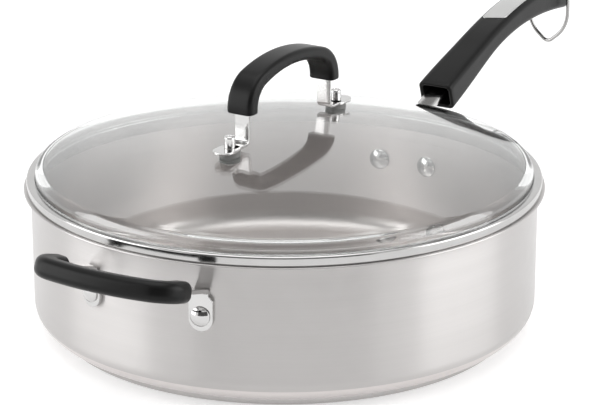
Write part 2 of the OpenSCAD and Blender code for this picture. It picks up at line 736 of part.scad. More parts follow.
// Frames along the wire from one pin's end, round the loop to the other: y, z and outward angle
wire_frames = let (half = concat(
    [[elbow_y - lap, 0, 90]],
    [for (i = [0:bend_steps]) let (a = 90 - 90 * i / bend_steps)
        [elbow_y + elbow_r * cos(a), elbow_r * sin(a) - elbow_r, a]],
    [for (i = [0:bend_steps]) let (a = -loop_lean * i / bend_steps)
        [loop_dy + loop_bend_r * cos(a), loop_bend_r * sin(a) - loop_leg, a]],
    [for (i = [0:bend_steps - 1]) let (a = -loop_lean - (90 - loop_lean) * i / bend_steps)
        [loop_tip_r * cos(a), loop_tip_r * sin(a) + loop_tip_z, a]])) concat(
    half, [[0, -loop_drop, -90]],
    [for (i = [len(half) - 1:-1:0]) [-half[i][0], half[i][1], -180 - half[i][2]]]);

// Wire bail: pins, elbows and legs that lean inward to a narrow round bottom
module hanging_loop() color(bright) translate([pivot_x, 0, pivot_z]) {
    bent_d = wire_d - 2 * bend_slim;
    skin([for (f = wire_frames) ring([0, f[0], f[1]], [0, cos(f[2]), sin(f[2])], [1, 0, 0],
        bent_d, bent_d, bent_d / 2)]);
    for (s = [0, 1]) mirror([0, s, 0]) translate([0, elbow_y - pin_length - elbow_gap, 0])
        rotate([-90, 0, 0]) cylinder(d = wire_d, h = pin_length + elbow_gap);
}

// ---- Helper handle ----
// Directions of an arm's sloping plane: out along the wall's normal, towards the other arm, and up
function arm_angle(side) = 180 - side * helper_half_angle;
function arm_out(side) = let (a = arm_angle(side))
    [cos(helper_slope) * cos(a), cos(helper_slope) * sin(a), sin(helper_slope)];
function arm_in(side) = side * [-sin(arm_angle(side)), cos(arm_angle(side)), 0];
function arm_up(side) = let (a = arm_angle(side))
    [-sin(helper_slope) * cos(a), -sin(helper_slope) * sin(a), cos(helper_slope)];

// Ring of the handle's section at x out and y in, facing the angle a in the arm's plane
function arm_ring(side, x, y, a, w, t, r) = let (root = arm_angle(side)) ring(
    [helper_out_x * cos(root), helper_out_x * sin(root), helper_out_z]
        + x * arm_out(side) + y * arm_in(side),
    cos(a) * arm_out(side) + sin(a) * arm_in(side), arm_up(side), w, t, r);

// Rings along one arm, from the distance given, and round its corner
function arm_rings(side, from, w, t, r) = let (
    first = helper_toe - 90,
    cx = helper_arm * cos(helper_toe) - helper_corner_r * sin(helper_toe),
    cy = helper_arm * sin(helper_toe) + helper_corner_r * cos(helper_toe)) concat(
    [arm_ring(side, from * cos(helper_toe), from * sin(helper_toe), first, w, t, r)],
    [for (i = [0:corner_steps]) let (a = first * (1 - i / corner_steps))
        arm_ring(side, cx + helper_corner_r * cos(a), cy + helper_corner_r * sin(a), a, w, t, r)]);

// Rings along both arms and the bar between them, as one row
function helper_rings(from, w, t, r) = let (far = arm_rings(1, from, w, t, r)) concat(
    arm_rings(-1, from, w, t, r),
    [for (i = [1:corner_steps - 1]) let (a = 180 + helper_bar_angle * (1 - 2 * i / corner_steps))
        ring([helper_bar_r * cos(a), helper_bar_r * sin(a), helper_bar_z],
            [cos(helper_slope) * cos(a), cos(helper_slope) * sin(a), sin(helper_slope)],
            [-sin(helper_slope) * cos(a), -sin(helper_slope) * sin(a), cos(helper_slope)], w, t, r)],
    [for (i = [len(far) - 1:-1:0]) far[i]]);

module helper_strap() color(bright) difference() {
    union() {
        skin(helper_rings(-helper_strap_w / 2 * tan(helper_toe) - lap,
            helper_strap_w, helper_strap_t, strap_edge_r));
        for (s = [-1, 1]) rotate([0, 0, arm_angle(s)]) {
            wall_plate(helper_strap_t) {
                translate([0, rivet_h - helper_foot_drop + helper_foot_w / 2])
                    circle(d = helper_foot_w);
                translate([-helper_foot_w / 2, rivet_h - helper_foot_drop + helper_foot_w / 2])
                    square([helper_foot_w, helper_foot_rise + helper_foot_drop
                        - helper_foot_w / 2 - helper_foot_taper]);
                polygon([[-helper_foot_w / 2, helper_foot_top - helper_foot_taper],
                    [helper_foot_w / 2, helper_foot_top - helper_foot_taper],
                    [helper_strap_w / 2, helper_foot_top], [-helper_strap_w / 2, helper_foot_top]]);
                translate([-helper_strap_w / 2, helper_foot_top - lap])
                    square([helper_strap_w, 2 * lap]);
            }
            across(helper_strap_w) translate([helper_bend_x, helper_foot_top])
                bend_side(helper_bend_r, helper_strap_t, helper_slope);
        }
    }
    for (s = [-1, 1]) rivet_hole(arm_angle(s));
}

module helper_grip() color(black) difference() {
    skin(helper_rings(helper_arm - helper_sleeve, helper_grip_w, helper_grip_t, helper_edge_r));
    skin(helper_rings(helper_arm - helper_sleeve - 1, helper_strap_w + 2 * slot_gap,
        helper_strap_t + 2 * slot_gap, strap_edge_r + slot_gap));
}

module helper_rivet_left() color(bright)
    rivet(180 - helper_half_angle, helper_strap_t, helper_head_d, helper_head_h);
module helper_rivet_right() color(bright)
    rivet(180 + helper_half_angle, helper_strap_t, helper_head_d, helper_head_h);

pan_body();
base_core();
base_cap();
lid_glass();
lid_band();
lid_strap();
lid_grip();
lid_gasket_left();
lid_gasket_right();
lid_washer_left();
lid_washer_right();
lid_barrel_left();
lid_barrel_right();
lid_screw_left();
lid_screw_right();
handle_bracket();
handle_rivet_left();
handle_rivet_right();
handle_grip();
handle_inlay();
hanging_loop();
helper_strap();
helper_grip();
helper_rivet_left();
helper_rivet_right();
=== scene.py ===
"""Covered saute pan: brushed steel pan, domed glass lid, and three handles with black grips."""

import json
import math

import bpy
import numpy as np
from bpy.props import FloatProperty, FloatVectorProperty, IntProperty, PointerProperty
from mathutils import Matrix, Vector


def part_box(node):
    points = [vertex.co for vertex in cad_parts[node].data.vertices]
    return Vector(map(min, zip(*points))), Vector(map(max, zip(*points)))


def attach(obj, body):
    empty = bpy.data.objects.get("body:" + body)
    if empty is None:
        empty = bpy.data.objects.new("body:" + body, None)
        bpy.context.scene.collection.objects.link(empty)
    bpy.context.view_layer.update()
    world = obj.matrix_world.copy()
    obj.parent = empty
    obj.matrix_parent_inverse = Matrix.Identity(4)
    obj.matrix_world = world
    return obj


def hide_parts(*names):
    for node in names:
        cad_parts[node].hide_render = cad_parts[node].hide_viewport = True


bl_info = {
    "name": "Covered Saute Pan",
    "version": (1, 0, 0),
    "blender": (4, 5, 0),
    "location": "View3D > Sidebar > Saute Pan",
    "description": "Builds a covered saute pan and a plain studio round its CAD frame",
    "category": "Object",
}

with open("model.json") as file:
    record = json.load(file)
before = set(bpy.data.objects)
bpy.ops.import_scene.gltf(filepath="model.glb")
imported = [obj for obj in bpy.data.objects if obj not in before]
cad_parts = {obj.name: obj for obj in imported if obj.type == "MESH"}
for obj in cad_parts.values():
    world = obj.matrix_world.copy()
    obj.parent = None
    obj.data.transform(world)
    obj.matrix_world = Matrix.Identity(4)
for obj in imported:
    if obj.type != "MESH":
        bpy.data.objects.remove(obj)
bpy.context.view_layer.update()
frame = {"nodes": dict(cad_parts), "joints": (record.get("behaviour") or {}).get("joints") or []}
MM = 0.001
LID_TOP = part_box("lid_glass")[1].z
ARCH_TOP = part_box("lid_grip")[1].z
BASE_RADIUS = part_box("base_cap")[1].x
LIP_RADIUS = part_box("pan_body")[1].y
GRIP_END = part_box("handle_grip")[1].x
PIVOT = frame["joints"][0]["pos_m"]
SEAT_GAP = 0.03 * MM
HOLE_GAP = 0.1 * MM
STRAP_EDGE = 0.3 * MM
PLATE_EDGE = 0.4 * MM
BEND_SLIM = 0.02 * MM
INNERMOST = 2 * MM
POLISHED = "Polished steel"


# ---- Sizes and finishes that a user may change ----
def length(name, description, millimetres):
    """A length property whose default is given in millimetres."""
    return FloatProperty(name=name, description=description, default=millimetres * MM, unit="LENGTH")


def degrees(name, description, value):
    """An angle property whose default is given in degrees."""
    return FloatProperty(
        name=name, description=description, default=math.radians(value), subtype="ANGLE"
    )


def colour(name, description, value):
    """A colour property from linear red, green and blue."""
    return FloatVectorProperty(
        name=name, description=description, default=value, size=3, subtype="COLOR", min=0, max=1
    )


class PanSizes(bpy.types.PropertyGroup):
    wall_radius: length("Wall radius", "Outside radius of the pan's wall", 146)
    rim_height: length("Rim height", "Height of the pan's rim", 84.4)
    sheet: length("Sheet", "Thickness of the pan's steel sheet", 1.2)
    corner: length("Corner", "Radius between wall and floor, outside", 13)
    lip_bend: length("Lip bend", "Radius of the bend under the lip", 3)
    base_height: length("Base height", "Height of the clad base", 4.5)
    base_edge: length("Base edge", "Radius of the base's lower edge", 2.2)
    base_sheet: length("Base sheet", "Thickness of the base's steel cap", 0.8)
    steps: IntProperty(name="Steps", description="Faces round a turned piece", default=256, min=32)


class LidSizes(bpy.types.PropertyGroup):
    dome_radius: length("Dome radius", "Radius of the dome's cap", 506)
    glass: length("Glass", "Thickness of the glass", 4)
    shoulder: length("Shoulder", "Radius of the dome's shoulder", 5)
    band: length("Band", "Thickness of the rim band", 0.8)
    band_inset: length("Band inset", "How far the band lies inside the pan's lip", 1.6)
    flange: length("Flange", "Width of the band on the glass", 5)
    skirt: length("Skirt", "Depth of the skirt in the pan", 8)
    skirt_gap: length("Skirt gap", "Gap between skirt and wall", 0.7)
    turn: degrees("Turn", "Turn of the lid on the pan", -1.6)
    fixing: length("Fixing", "Distance of each fixing from the middle", 56)
    leg: length("Leg", "Distance of each leg from the middle", 43)
    end_height: length("End height", "Height of the grip's open ends over the rim", 50.4)
    straight: length("Straight", "Height of the corner centres over the open ends", 2)
    corner: length("Corner", "Radius of the arch's corners", 17)
    grip_width: length("Grip width", "Width of the lid's grip", 16.8)
    grip_ends: length("Grip ends", "Thickness of the grip at its ends", 9.2)
    grip_crown: length("Grip crown", "Thickness of the grip at its middle", 7.2)
    grip_edge: length("Grip edge", "Radius of the grip's long edges", 2.8)
    strap_width: length("Strap width", "Width of the steel strap", 9.2)
    strap: length("Strap", "Thickness of the steel strap", 1.6)
    foot_width: length("Foot width", "Width of the strap's feet", 12.4)
    foot_reach: length("Foot reach", "Length of each foot past its fixing", 12)
    foot_bend: length("Foot bend", "Radius inside the bend above each foot", 2.6)
    barrel_width: length("Barrel width", "Diameter of the barrel nuts", 6.4)
    barrel_height: length("Barrel height", "Height of the barrel nuts", 6.8)


class HandleSizes(bpy.types.PropertyGroup):
    slope: degrees("Slope", "Rise of the long handle", 19.5)
    start: length("Start", "Distance of the grip's open end from the middle", 187)
    start_height: length("Start height", "Height of the grip's open end", 88)
    straight: length("Straight", "Length of the grip's straight part", 56)
    curve: length("Curve", "Radius of the grip's bend", 255)
    front_width: length("Front width", "Width of the grip at its open end", 23.4)
    front: length("Front", "Thickness of the grip at its open end", 18)
    waist_width: length("Waist width", "Width of the grip's waist", 21.2)
    waist: length("Waist", "Thickness of the grip's waist", 13.8)
    tip_width: length("Tip width", "Width of the grip near its tip", 21)
    tip: length("Tip", "Thickness of the grip near its tip", 18)
    edge: length("Edge", "Radius of the grip's long edges", 3.6)
    wall: length("Wall", "Wall of the grip at its open end", 2.6)
    hollow: length("Hollow", "Depth of the hollow in the open end", 16)
    tang_width: length("Tang width", "Width of the steel tang", 12)
    tang: length("Tang", "Thickness of the steel tang", 3)
    tang_rise: length("Tang rise", "Height of the tang over the grip's middle", 1.6)
    tang_reach: length("Tang reach", "Length of the tang inside the grip", 44)
    bend: length("Bend", "Radius inside the tang's bend", 3)
    margin: length("Margin", "Width of the plate round each rivet head", 1.5)
    rivet_spread: length("Rivet spread", "Distance between the bracket's rivets", 33.8)
    rivet_height: length("Rivet height", "Height of all the rivets", 54.6)
    rivet_width: length("Rivet width", "Diameter of the bracket's rivet heads", 13)
    rivet_rise: length("Rivet rise", "Height of the bracket's rivet heads", 3.4)
    inlay_start: length("Inlay start", "Distance of the inlay from the pan's middle", 268)
    inlay_end: length("Inlay end", "Length of bare grip past the inlay", 7)
    inlay_width: length("Inlay width", "Width of the inlay", 15.6)
    inlay_slant: length("Inlay slant", "How far the inlay's front edge slants", 4)
    inlay_proud: length("Inlay proud", "Height of the inlay over the grip", 0.3)


class LoopSizes(bpy.types.PropertyGroup):
    wire: length("Wire", "Diameter of the wire", 2.4)
    drop: length("Drop", "Depth of the loop below its pins", 32.8)
    leg: length("Leg", "Depth at which the legs start to lean", 11.8)
    bend: length("Bend", "Radius in which each leg starts to lean", 22)
    tip: length("Tip", "Radius of the loop's bottom", 5)
    elbow: length("Elbow", "Radius of the elbows at the pins", 2.8)
    elbow_gap: length("Elbow gap", "Gap between the grip and the elbows", 1.2)
    pin: length("Pin", "Length of each pin inside the grip", 5)


class HelperSizes(bpy.types.PropertyGroup):
    half_angle: degrees("Half angle", "Angle from the middle to each foot", 13.8)
    slope: degrees("Slope", "Rise of the helper handle", 17.4)
    toe: degrees("Toe", "How far each arm turns inward", 6.5)
    reach: length("Reach", "Distance of the bar from the wall", 39.6)
    corner: length("Corner", "Radius of the grip's corners", 9.5)
    grip_width: length("Grip width", "Width of the grip", 13)
    grip: length("Grip", "Thickness of the grip", 11.6)
    edge: length("Edge", "Radius of the grip's long edges", 4.4)
    sleeve: length("Sleeve", "Length of the grip on each arm", 7.5)
    strap_width: length("Strap width", "Width of the steel strap", 9)
    strap: length("Strap", "Thickness of the steel strap", 2.4)
    bend: length("Bend", "Radius inside the bend above each foot", 2)
    foot_width: length("Foot width", "Width of the feet", 13.6)
    foot_drop: length("Foot drop", "Length of each foot below its rivet", 8.6)
    foot_rise: length("Foot rise", "Length of each foot above its rivet", 11.9)
    rivet_width: length("Rivet width", "Diameter of the rivet heads", 11)
    rivet_rise: length("Rivet rise", "Height of the rivet heads", 3.2)


class Finishes(bpy.types.PropertyGroup):
    steel: colour("Steel", "Colour of the brushed steel", (0.522, 0.507, 0.5))
    # Painted light: the inside is the same steel sheet as the outside, given this lighter copy of its
    # colour.
    inside: colour("Inside", "Colour of the steel inside the pan", (0.68, 0.645, 0.635))
    fitting: colour("Fittings", "Colour of the polished fittings", (0.6, 0.595, 0.59))
    # Painted reflection: the band is polished steel like the fittings, given this darker colour in
    # place of dark reflections on the rim.
    rim: colour("Rim", "Colour of the polished band round the glass", (0.5, 0.495, 0.49))
    # Painted reflection: the loop is polished steel like the fittings, given this darker colour in
    # place of dark reflections.
    wire: colour("Wire", "Colour of the wire loop", (0.38, 0.375, 0.37))
    inlay: colour("Inlay", "Colour of the satin inlay", (0.66, 0.66, 0.655))
    plastic: colour("Plastic", "Colour of the black grips", (0.006, 0.006, 0.006))
    rubber: colour("Rubber", "Colour of the seals", (0.24, 0.24, 0.235))
    brush_lines: FloatProperty(
        name="Brush lines", description="Brushed lines to the metre across the grain", default=2200
    )


class StageSettings(bpy.types.PropertyGroup):
    softbox_power: FloatProperty(
        name="Softbox power", description="Power of each side softbox", default=11, unit="POWER"
    )
    top_power: FloatProperty(
        name="Top power", description="Power of the top softbox", default=8, unit="POWER"
    )
    sky: FloatProperty(name="Sky", description="Strength of the even light", default=0.5)
    curtain: FloatProperty(
        name="Curtain", description="Brightness of the curtain behind the camera", default=0.1
    )
    border: FloatProperty(
        name="Border", description="Brightness of the grey border above the softboxes", default=0.3
    )


# ---- Shapes ----
def arc(x, y, radius, first, last, steps):
    """Points (x + r cos a, y + r sin a) for steps + 1 even angles a in degrees from first to last."""
    a = np.radians(np.linspace(first, last, steps + 1))
    return np.stack([x + radius * np.cos(a), y + radius * np.sin(a)], axis=1)


def line(start, end, steps=1):
    """Points start + t (end - start) for steps + 1 even values of t from 0 to 1."""
    t = np.linspace(0, 1, steps + 1)[:, None]
    return np.asarray(start, float) * (1 - t) + np.asarray(end, float) * t


def unit(vectors):
    """Rows of vectors divided by their lengths."""
    return vectors / np.linalg.norm(vectors, axis=-1, keepdims=True)


def rounded_path(corners, radii, steps=6):
    """A closed outline through corners, each replaced by the arc that touches both its sides.
    The arc's centre lies on the half-angle line at r / sin(half angle) from the corner."""
    points = np.asarray(corners, float)
    parts = []
    for before, here, after, radius in zip(
        np.roll(points, 1, axis=0), points, np.roll(points, -1, axis=0), radii
    ):
        a, b = unit(before - here), unit(after - here)
        half = math.acos(np.clip(a @ b, -1, 1)) / 2
        middle = here + unit(a + b) * radius / math.sin(half)
        first = here + a * radius / math.tan(half) - middle
        last = here + b * radius / math.tan(half) - middle
        t = np.linspace(0, 1, steps + 1)[:, None]
        turn = math.acos(np.clip(first @ last / radius**2, -1, 1))
        parts.append(
            middle + (np.sin((1 - t) * turn) * first + np.sin(t * turn) * last) / math.sin(turn)
        )
    return np.concatenate(parts)


def section(width, thick, radius, corner_steps=6, flat_steps=4):
    """Rounded rectangle of points (m, n), anticlockwise: four quarter circles and flats between.
    Every argument may be an array over the rings, so that the result is rings by points by two."""
    width, thick, radius = np.broadcast_arrays(*(np.atleast_1d(v) for v in (width, thick, radius)))
    radius = np.minimum(radius, 0.98 * np.minimum(width, thick) / 2)
    a = np.radians(np.linspace(0, 90, corner_steps + 1))
    m, n = [], []
    for quarter, (sx, sy) in enumerate(((1, 1), (-1, 1), (-1, -1), (1, -1))):
        turned = a + quarter * math.pi / 2
        m.append(sx * (width / 2 - radius)[:, None] + radius[:, None] * np.cos(turned))
        n.append(sy * (thick / 2 - radius)[:, None] + radius[:, None] * np.sin(turned))
    t = np.arange(1, flat_steps) / flat_steps
    for values in (m, n):
        for q in range(4):
            here, after = values[2 * q][:, -1:], values[(2 * q + 1) % len(values)][:, :1]
            values.insert(2 * q + 1, here * (1 - t) + after * t)
    return np.stack([np.concatenate(m, axis=1), np.concatenate(n, axis=1)], axis=2)


def upright(x, z):
    """Rows (x, 0, z) in the plane of the handles."""
    return np.stack([x, np.zeros(len(x)), z], axis=1)


def rings_of(places, across, up, outline):
    """Points p + m u + n v: ring k stands at places[k], m runs along across[k] and n along up[k]."""
    return (
        places[:, None, :]
        + outline[:, :, :1] * across[:, None, :]
        + outline[:, :, 1:] * up[:, None, :]
    )


def turned_grid(profile, steps):
    """Profile (r, z) carried round the Z axis: (r cos a, r sin a, z)."""
    a = np.linspace(0, 2 * math.pi, steps, endpoint=False)
    r, z = profile[:, :1], profile[:, 1:]
    return np.stack([r * np.cos(a), r * np.sin(a), np.broadcast_to(z, (len(r), steps))], axis=2)


def shell(grid, closed_rows=False):
    """Vertices and faces of a grid of rings. Each ring closes on itself.
    Either the last ring joins the first, or both end rings are closed by fans to their middles."""
    rows, columns = grid.shape[:2]
    points = grid.reshape(-1, 3)
    count = rows if closed_rows else rows - 1
    i, j = np.meshgrid(np.arange(count), np.arange(columns), indexing="ij")
    k, after = (i + 1) % rows, (j + 1) % columns
    quads = np.stack(
        [i * columns + j, i * columns + after, k * columns + after, k * columns + j], axis=2
    ).reshape(-1, 4)
    faces = quads.tolist()
    if not closed_rows:
        middles = np.stack([grid[0].mean(axis=0), grid[-1].mean(axis=0)])
        points = np.concatenate([points, middles])
        c = np.arange(columns)
        first = np.stack([np.full(columns, len(points) - 2), (c + 1) % columns, c], axis=1)
        end = (rows - 1) * columns
        last = np.stack(
            [np.full(columns, len(points) - 1), end + c, end + (c + 1) % columns], axis=1
        )
        faces += first.tolist() + last.tolist()
    return points, faces


def joined(parts):
    """Several shells as one: vertices stacked and faces renumbered."""
    points, faces, start = [], [], 0
    for some_points, some_faces in parts:
        points.append(some_points)
        faces += [[start + v for v in face] for face in some_faces]
        start += len(some_points)
    return np.concatenate(points), faces


def outward(points, faces):
    """The shell with its faces turned outward: the sum of a . (b x c) over its faces is positive."""
    corners = np.array([face[:3] for face in faces])
    quads = np.array([[f[0], f[2], f[3]] if len(f) == 4 else [f[0]] * 3 for f in faces])
    volume = sum(
        np.einsum("ij,ij->", points[t[:, 0]], np.cross(points[t[:, 1]], points[t[:, 2]]))
        for t in (corners, quads)
    )
    return (points, faces) if volume > 0 else (points, [face[::-1] for face in faces])


def linked(thing):
    """The object, now in the scene."""
    bpy.context.scene.collection.objects.link(thing)
    return thing


def add_piece(name, parts, node, finish=POLISHED, body="pan", crease=35):
    """Links a mesh made of the closed shells in parts, which stands for a CAD node and has the
    finish and the slot named. Edges between faces that meet at more than crease degrees stay sharp."""
    points, faces = joined([outward(*part) for part in parts])
    mesh = bpy.data.meshes.new(name)
    mesh.from_pydata(points.tolist(), [], faces)
    mesh.update()
    mesh.shade_smooth()
    mesh.set_sharp_from_angle(angle=math.radians(crease))
    mesh.materials.append(material_named(finish))
    piece = linked(bpy.data.objects.new(name, mesh))
    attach(piece, body)
    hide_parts(node)
    return piece


def placed(points, origin, x_axis, y_axis, z_axis):
    """Points taken to origin + x X + y Y + z Z."""
    axes = np.array([x_axis, y_axis, z_axis], float)
    return np.asarray(origin, float) + points @ axes


def plate(outline, thick, edge, place, edge_steps=4):
    """A plate with round edges. Its closed outline shrinks by r (1 - sin a) at each depth
    r (1 - cos a) from either face, and each face is rings that shrink towards its middle.
    place takes (u, v, depth) onto the surface that the plate lies on."""
    ahead = np.roll(outline, -1, axis=0) - np.roll(outline, 1, axis=0)
    normals = unit(np.stack([ahead[:, 1], -ahead[:, 0]], axis=1))
    a = np.linspace(0, math.pi / 2, edge_steps + 1)
    inset = edge * (1 - np.sin(a))
    depth = edge * (1 - np.cos(a))
    insets = np.concatenate([inset, inset[::-1]])
    depths = np.concatenate([depth, thick - depth[::-1]])
    flat = outline[None] - normals[None] * insets[:, None, None]
    shares = np.array([0.04, 0.2, 0.4, 0.6, 0.8])[:, None, None]
    middle = outline.mean(axis=0)
    face = middle + (flat[0] - middle) * shares
    flat = np.concatenate([face, flat, face[::-1]])
    depths = np.concatenate([np.zeros(5), depths, np.full(5, thick)])
    u, v = flat[:, :, 0], flat[:, :, 1]
    return shell(place(u, v, np.broadcast_to(depths[:, None], u.shape)))


def band_along(path, width, thick, edge, turn=0.0):
    """A strap whose middle line is path, given as (x, z) in an upright plane turned about Z.
    Each ring has its width across that plane and its thickness along the path's normal."""
    tangent = unit(np.gradient(path, axis=0))
    c, s = math.cos(turn), math.sin(turn)
    places = np.stack([path[:, 0] * c, path[:, 0] * s, path[:, 1]], axis=1)
    across = np.broadcast_to([-s, c, 0.0], places.shape)
    up = np.stack([-tangent[:, 1] * c, -tangent[:, 1] * s, tangent[:, 0]], axis=1)
    outline = np.broadcast_to(section(width, thick, edge, 3, 2), (len(path), 20, 2))
    return shell(rings_of(places, across, up, outline))


def rivet_profile(width, rise, outer, inner):
    """Half outline of a rivet along its axis: two heads with a short rim and a shallow round cap,
    flat against the sheets at inner and outer, and the shank between them."""
    rim = 0.25 * rise
    cap = ((width / 2) ** 2 + (rise - rim) ** 2) / (2 * (rise - rim))
    sweep = math.degrees(math.asin(width / 2 / cap))
    soft, shank = 0.12 * rise, 2.5 * MM
    head = arc(0, rise - cap, cap, 90 - 0.02 * sweep, 90 - 0.97 * sweep, 14)
    edge = arc(width / 2 - soft, rim - 0.3 * soft, soft, 55, 0, 4)
    back = np.array([[width / 2 - soft / 2, 0], [shank, 0]])
    half = np.concatenate([head, edge, back])
    top = half + [0, outer]
    bottom = half[::-1] * [1, -1] + [0, inner]
    return np.concatenate([top, bottom])


def wall_rivet(width, rise, plate_thick, angle):
    """The rivet's profile turned about an axis that points out from the pan at the angle given."""
    pan = bpy.context.scene.saute_pan
    height = bpy.context.scene.saute_handle.rivet_height
    outer = pan.wall_radius + 2 * SEAT_GAP + plate_thick
    inner = math.sqrt((pan.wall_radius - pan.sheet - SEAT_GAP) ** 2 - (width / 2) ** 2)
    points, faces = shell(turned_grid(rivet_profile(width, rise, outer, inner), 48))
    c, s = math.cos(angle), math.sin(angle)
    return placed(points, [0, 0, height], [-s, c, 0], [0, 0, 1], [c, s, 0]), faces


def on_wall(turn):
    """A place function for plates on the wall: u runs round, v is the height, depth runs outward.
    A point goes to (sqrt(R^2 - u^2) + depth, u, v), turned about Z."""
    radius = bpy.context.scene.saute_pan.wall_radius + SEAT_GAP
    c, s = math.cos(turn), math.sin(turn)

    def place(u, v, depth):
        x = np.sqrt(np.maximum((radius + depth) ** 2 - u**2, 0))
        return np.stack([x * c - u * s, x * s + u * c, v], axis=2)

    return place


# ---- Materials ----
class Nodes:
    """Short calls that add shader nodes to a tree and link them."""

    def __init__(self, tree):
        self.tree = tree

    def add(self, kind, values=None, **settings):
        node = self.tree.nodes.new(kind)
        for key, value in settings.items():
            setattr(node, key, value)
        for key, value in (values or {}).items():
            if isinstance(value, bpy.types.NodeSocket):
                self.tree.links.new(value, node.inputs[key])
            else:
                node.inputs[key].default_value = value
        return node

    def math(self, operation, first, second=0.0):
        return self.add("ShaderNodeMath", {0: first, 1: second}, operation=operation).outputs[0]

    def ramp(self, value, low, high, to_low=0.0, to_high=1.0):
        return self.add(
            "ShaderNodeMapRange",
            {"Value": value, "From Min": low, "From Max": high, "To Min": to_low, "To Max": to_high},
        ).outputs["Result"]


    def noise(self, vector, scale, detail=2.0, rough=0.5):
        values = {"Vector": vector, "Scale": scale, "Detail": detail, "Roughness": rough}
        return self.add("ShaderNodeTexNoise", values).outputs["Fac"]

    def place(self):
        return self.add("ShaderNodeTexCoord").outputs["Object"]

    def principled(self, values, output):
        surface = self.add("ShaderNodeBsdfPrincipled", values)
        self.tree.links.new(surface.outputs[0], output.inputs[0])


def group(name, inputs, outputs):
    """A new shader node group with the named float or vector sockets. Returns it with its ends."""
    tree = bpy.data.node_groups.new(name, "ShaderNodeTree")
    for socket, kind, default in inputs:
        made = tree.interface.new_socket(name=socket, in_out="INPUT", socket_type=kind)
        if default is not None:
            made.default_value = default
    for socket, kind in outputs:
        tree.interface.new_socket(name=socket, in_out="OUTPUT", socket_type=kind)
    nodes = Nodes(tree)
    return nodes, nodes.add("NodeGroupInput"), nodes.add("NodeGroupOutput")


def brushed_group():
    """Brushed lines that run round the Z axis: noise stretched along the turn, read at r + z
    across the grain. Puts out a height for the scratches and a slow shade for bands of grain."""
    nodes, start, end = group(
        "Brushed lines",
        [("Lines", "NodeSocketFloat", 1500), ("Stretch", "NodeSocketFloat", 2.0)],
        [("Height", "NodeSocketFloat"), ("Shade", "NodeSocketFloat")],
    )
    place = nodes.place()
    axes = nodes.add("ShaderNodeSeparateXYZ", {0: place}).outputs
    radius = nodes.math(
        "SQRT",
        nodes.math(
            "ADD", nodes.math("MULTIPLY", axes[0], axes[0]), nodes.math("MULTIPLY", axes[1], axes[1])
        ),
    )
    across = nodes.math("ADD", radius, axes[2])
    along = [nodes.math("MULTIPLY", axes[i], start.outputs["Stretch"]) for i in (0, 1)]
    fine = nodes.add(
        "ShaderNodeCombineXYZ",
        {0: along[0], 1: along[1], 2: nodes.math("MULTIPLY", across, start.outputs["Lines"])},
    ).outputs[0]
    slow = nodes.add(
        "ShaderNodeCombineXYZ",
        {0: along[0], 1: along[1], 2: nodes.math("MULTIPLY", across, 240.0)},
    ).outputs[0]
    scratches = nodes.noise(fine, 1.0, rough=0.6)
    bands = nodes.noise(slow, 1.0)
    nodes.tree.links.new(scratches, end.inputs["Height"])
    nodes.tree.links.new(
        nodes.math("ADD", nodes.math("MULTIPLY", scratches, 0.5), nodes.math("MULTIPLY", bands, 0.5)),
        end.inputs["Shade"],
    )
    return nodes.tree


def handling_group():
    """Faint smears from handling: two noises of different size multiplied, from 0 to 1."""
    nodes, start, end = group(
        "Handling marks",
        [("Size", "NodeSocketFloat", 18.0)],
        [("Mask", "NodeSocketFloat")],
    )
    place = nodes.place()
    large = nodes.noise(place, start.outputs["Size"], 3.0)
    small = nodes.noise(place, nodes.math("MULTIPLY", start.outputs["Size"], 7.0), 4.0)
    mask = nodes.math("MULTIPLY", nodes.ramp(large, 0.35, 0.7), nodes.ramp(small, 0.3, 0.7))
    nodes.tree.links.new(mask, end.inputs["Mask"])
    return nodes.tree


def grain_group():
    """Fine moulded grain: small noise for the height, and larger noise for a slight change of tone."""
    nodes, start, end = group(
        "Moulded grain",
        [("Scale", "NodeSocketFloat", 1800.0)],
        [("Height", "NodeSocketFloat"), ("Tone", "NodeSocketFloat")],
    )
    place = nodes.place()
    fine = nodes.noise(place, start.outputs["Scale"])
    tone = nodes.noise(place, 60.0, 3.0)
    nodes.tree.links.new(fine, end.inputs["Height"])
    nodes.tree.links.new(tone, end.inputs["Tone"])
    return nodes.tree


def new_material(name):
    """An empty node material with its output. Returns the material, its nodes and the output."""
    material = bpy.data.materials.new(name)
    material.use_nodes = True
    material.node_tree.nodes.clear()
    nodes = Nodes(material.node_tree)
    return material, nodes, nodes.add("ShaderNodeOutputMaterial")


def shaded(nodes, value, base, low, high):
    """The colour base scaled from low to high as value goes from 0.3 to 0.7."""
    scale = nodes.ramp(value, 0.3, 0.7, low, high)
    return nodes.add(
        "ShaderNodeVectorMath", {0: (*base,), "Scale": scale}, operation="SCALE"
    ).outputs[0]


def brushed_steel(name, base, rough, lines, groups, aniso=0.8, depth=0.005):
    """Steel brushed round the Z axis: the lines set the height, tone and roughness."""
    material, nodes, output = new_material(name)
    brushed = nodes.add("ShaderNodeGroup", node_tree=groups["brushed"])
    brushed.inputs["Lines"].default_value = lines
    marks = nodes.add("ShaderNodeGroup", node_tree=groups["marks"]).outputs["Mask"]
    rough_now = nodes.math(
        "ADD",
        nodes.ramp(brushed.outputs["Shade"], 0.3, 0.7, rough - 0.03, rough + 0.03),
        nodes.math("MULTIPLY", marks, 0.04),
    )
    bump = nodes.add(
        "ShaderNodeBump",
        {"Height": brushed.outputs["Height"], "Strength": 0.25, "Distance": depth * MM},
    )
    nodes.principled(
        {
            "Base Color": shaded(nodes, brushed.outputs["Shade"], base, 0.97, 1.03),
            "Metallic": 1.0,
            "Roughness": rough_now,
            "Anisotropic": aniso,
            "Anisotropic Rotation": 0.25,
            "Normal": bump.outputs[0],
            "Tangent": nodes.add("ShaderNodeTangent", direction_type="RADIAL", axis="Z").outputs[0],
        },
        output,
    )
    return material


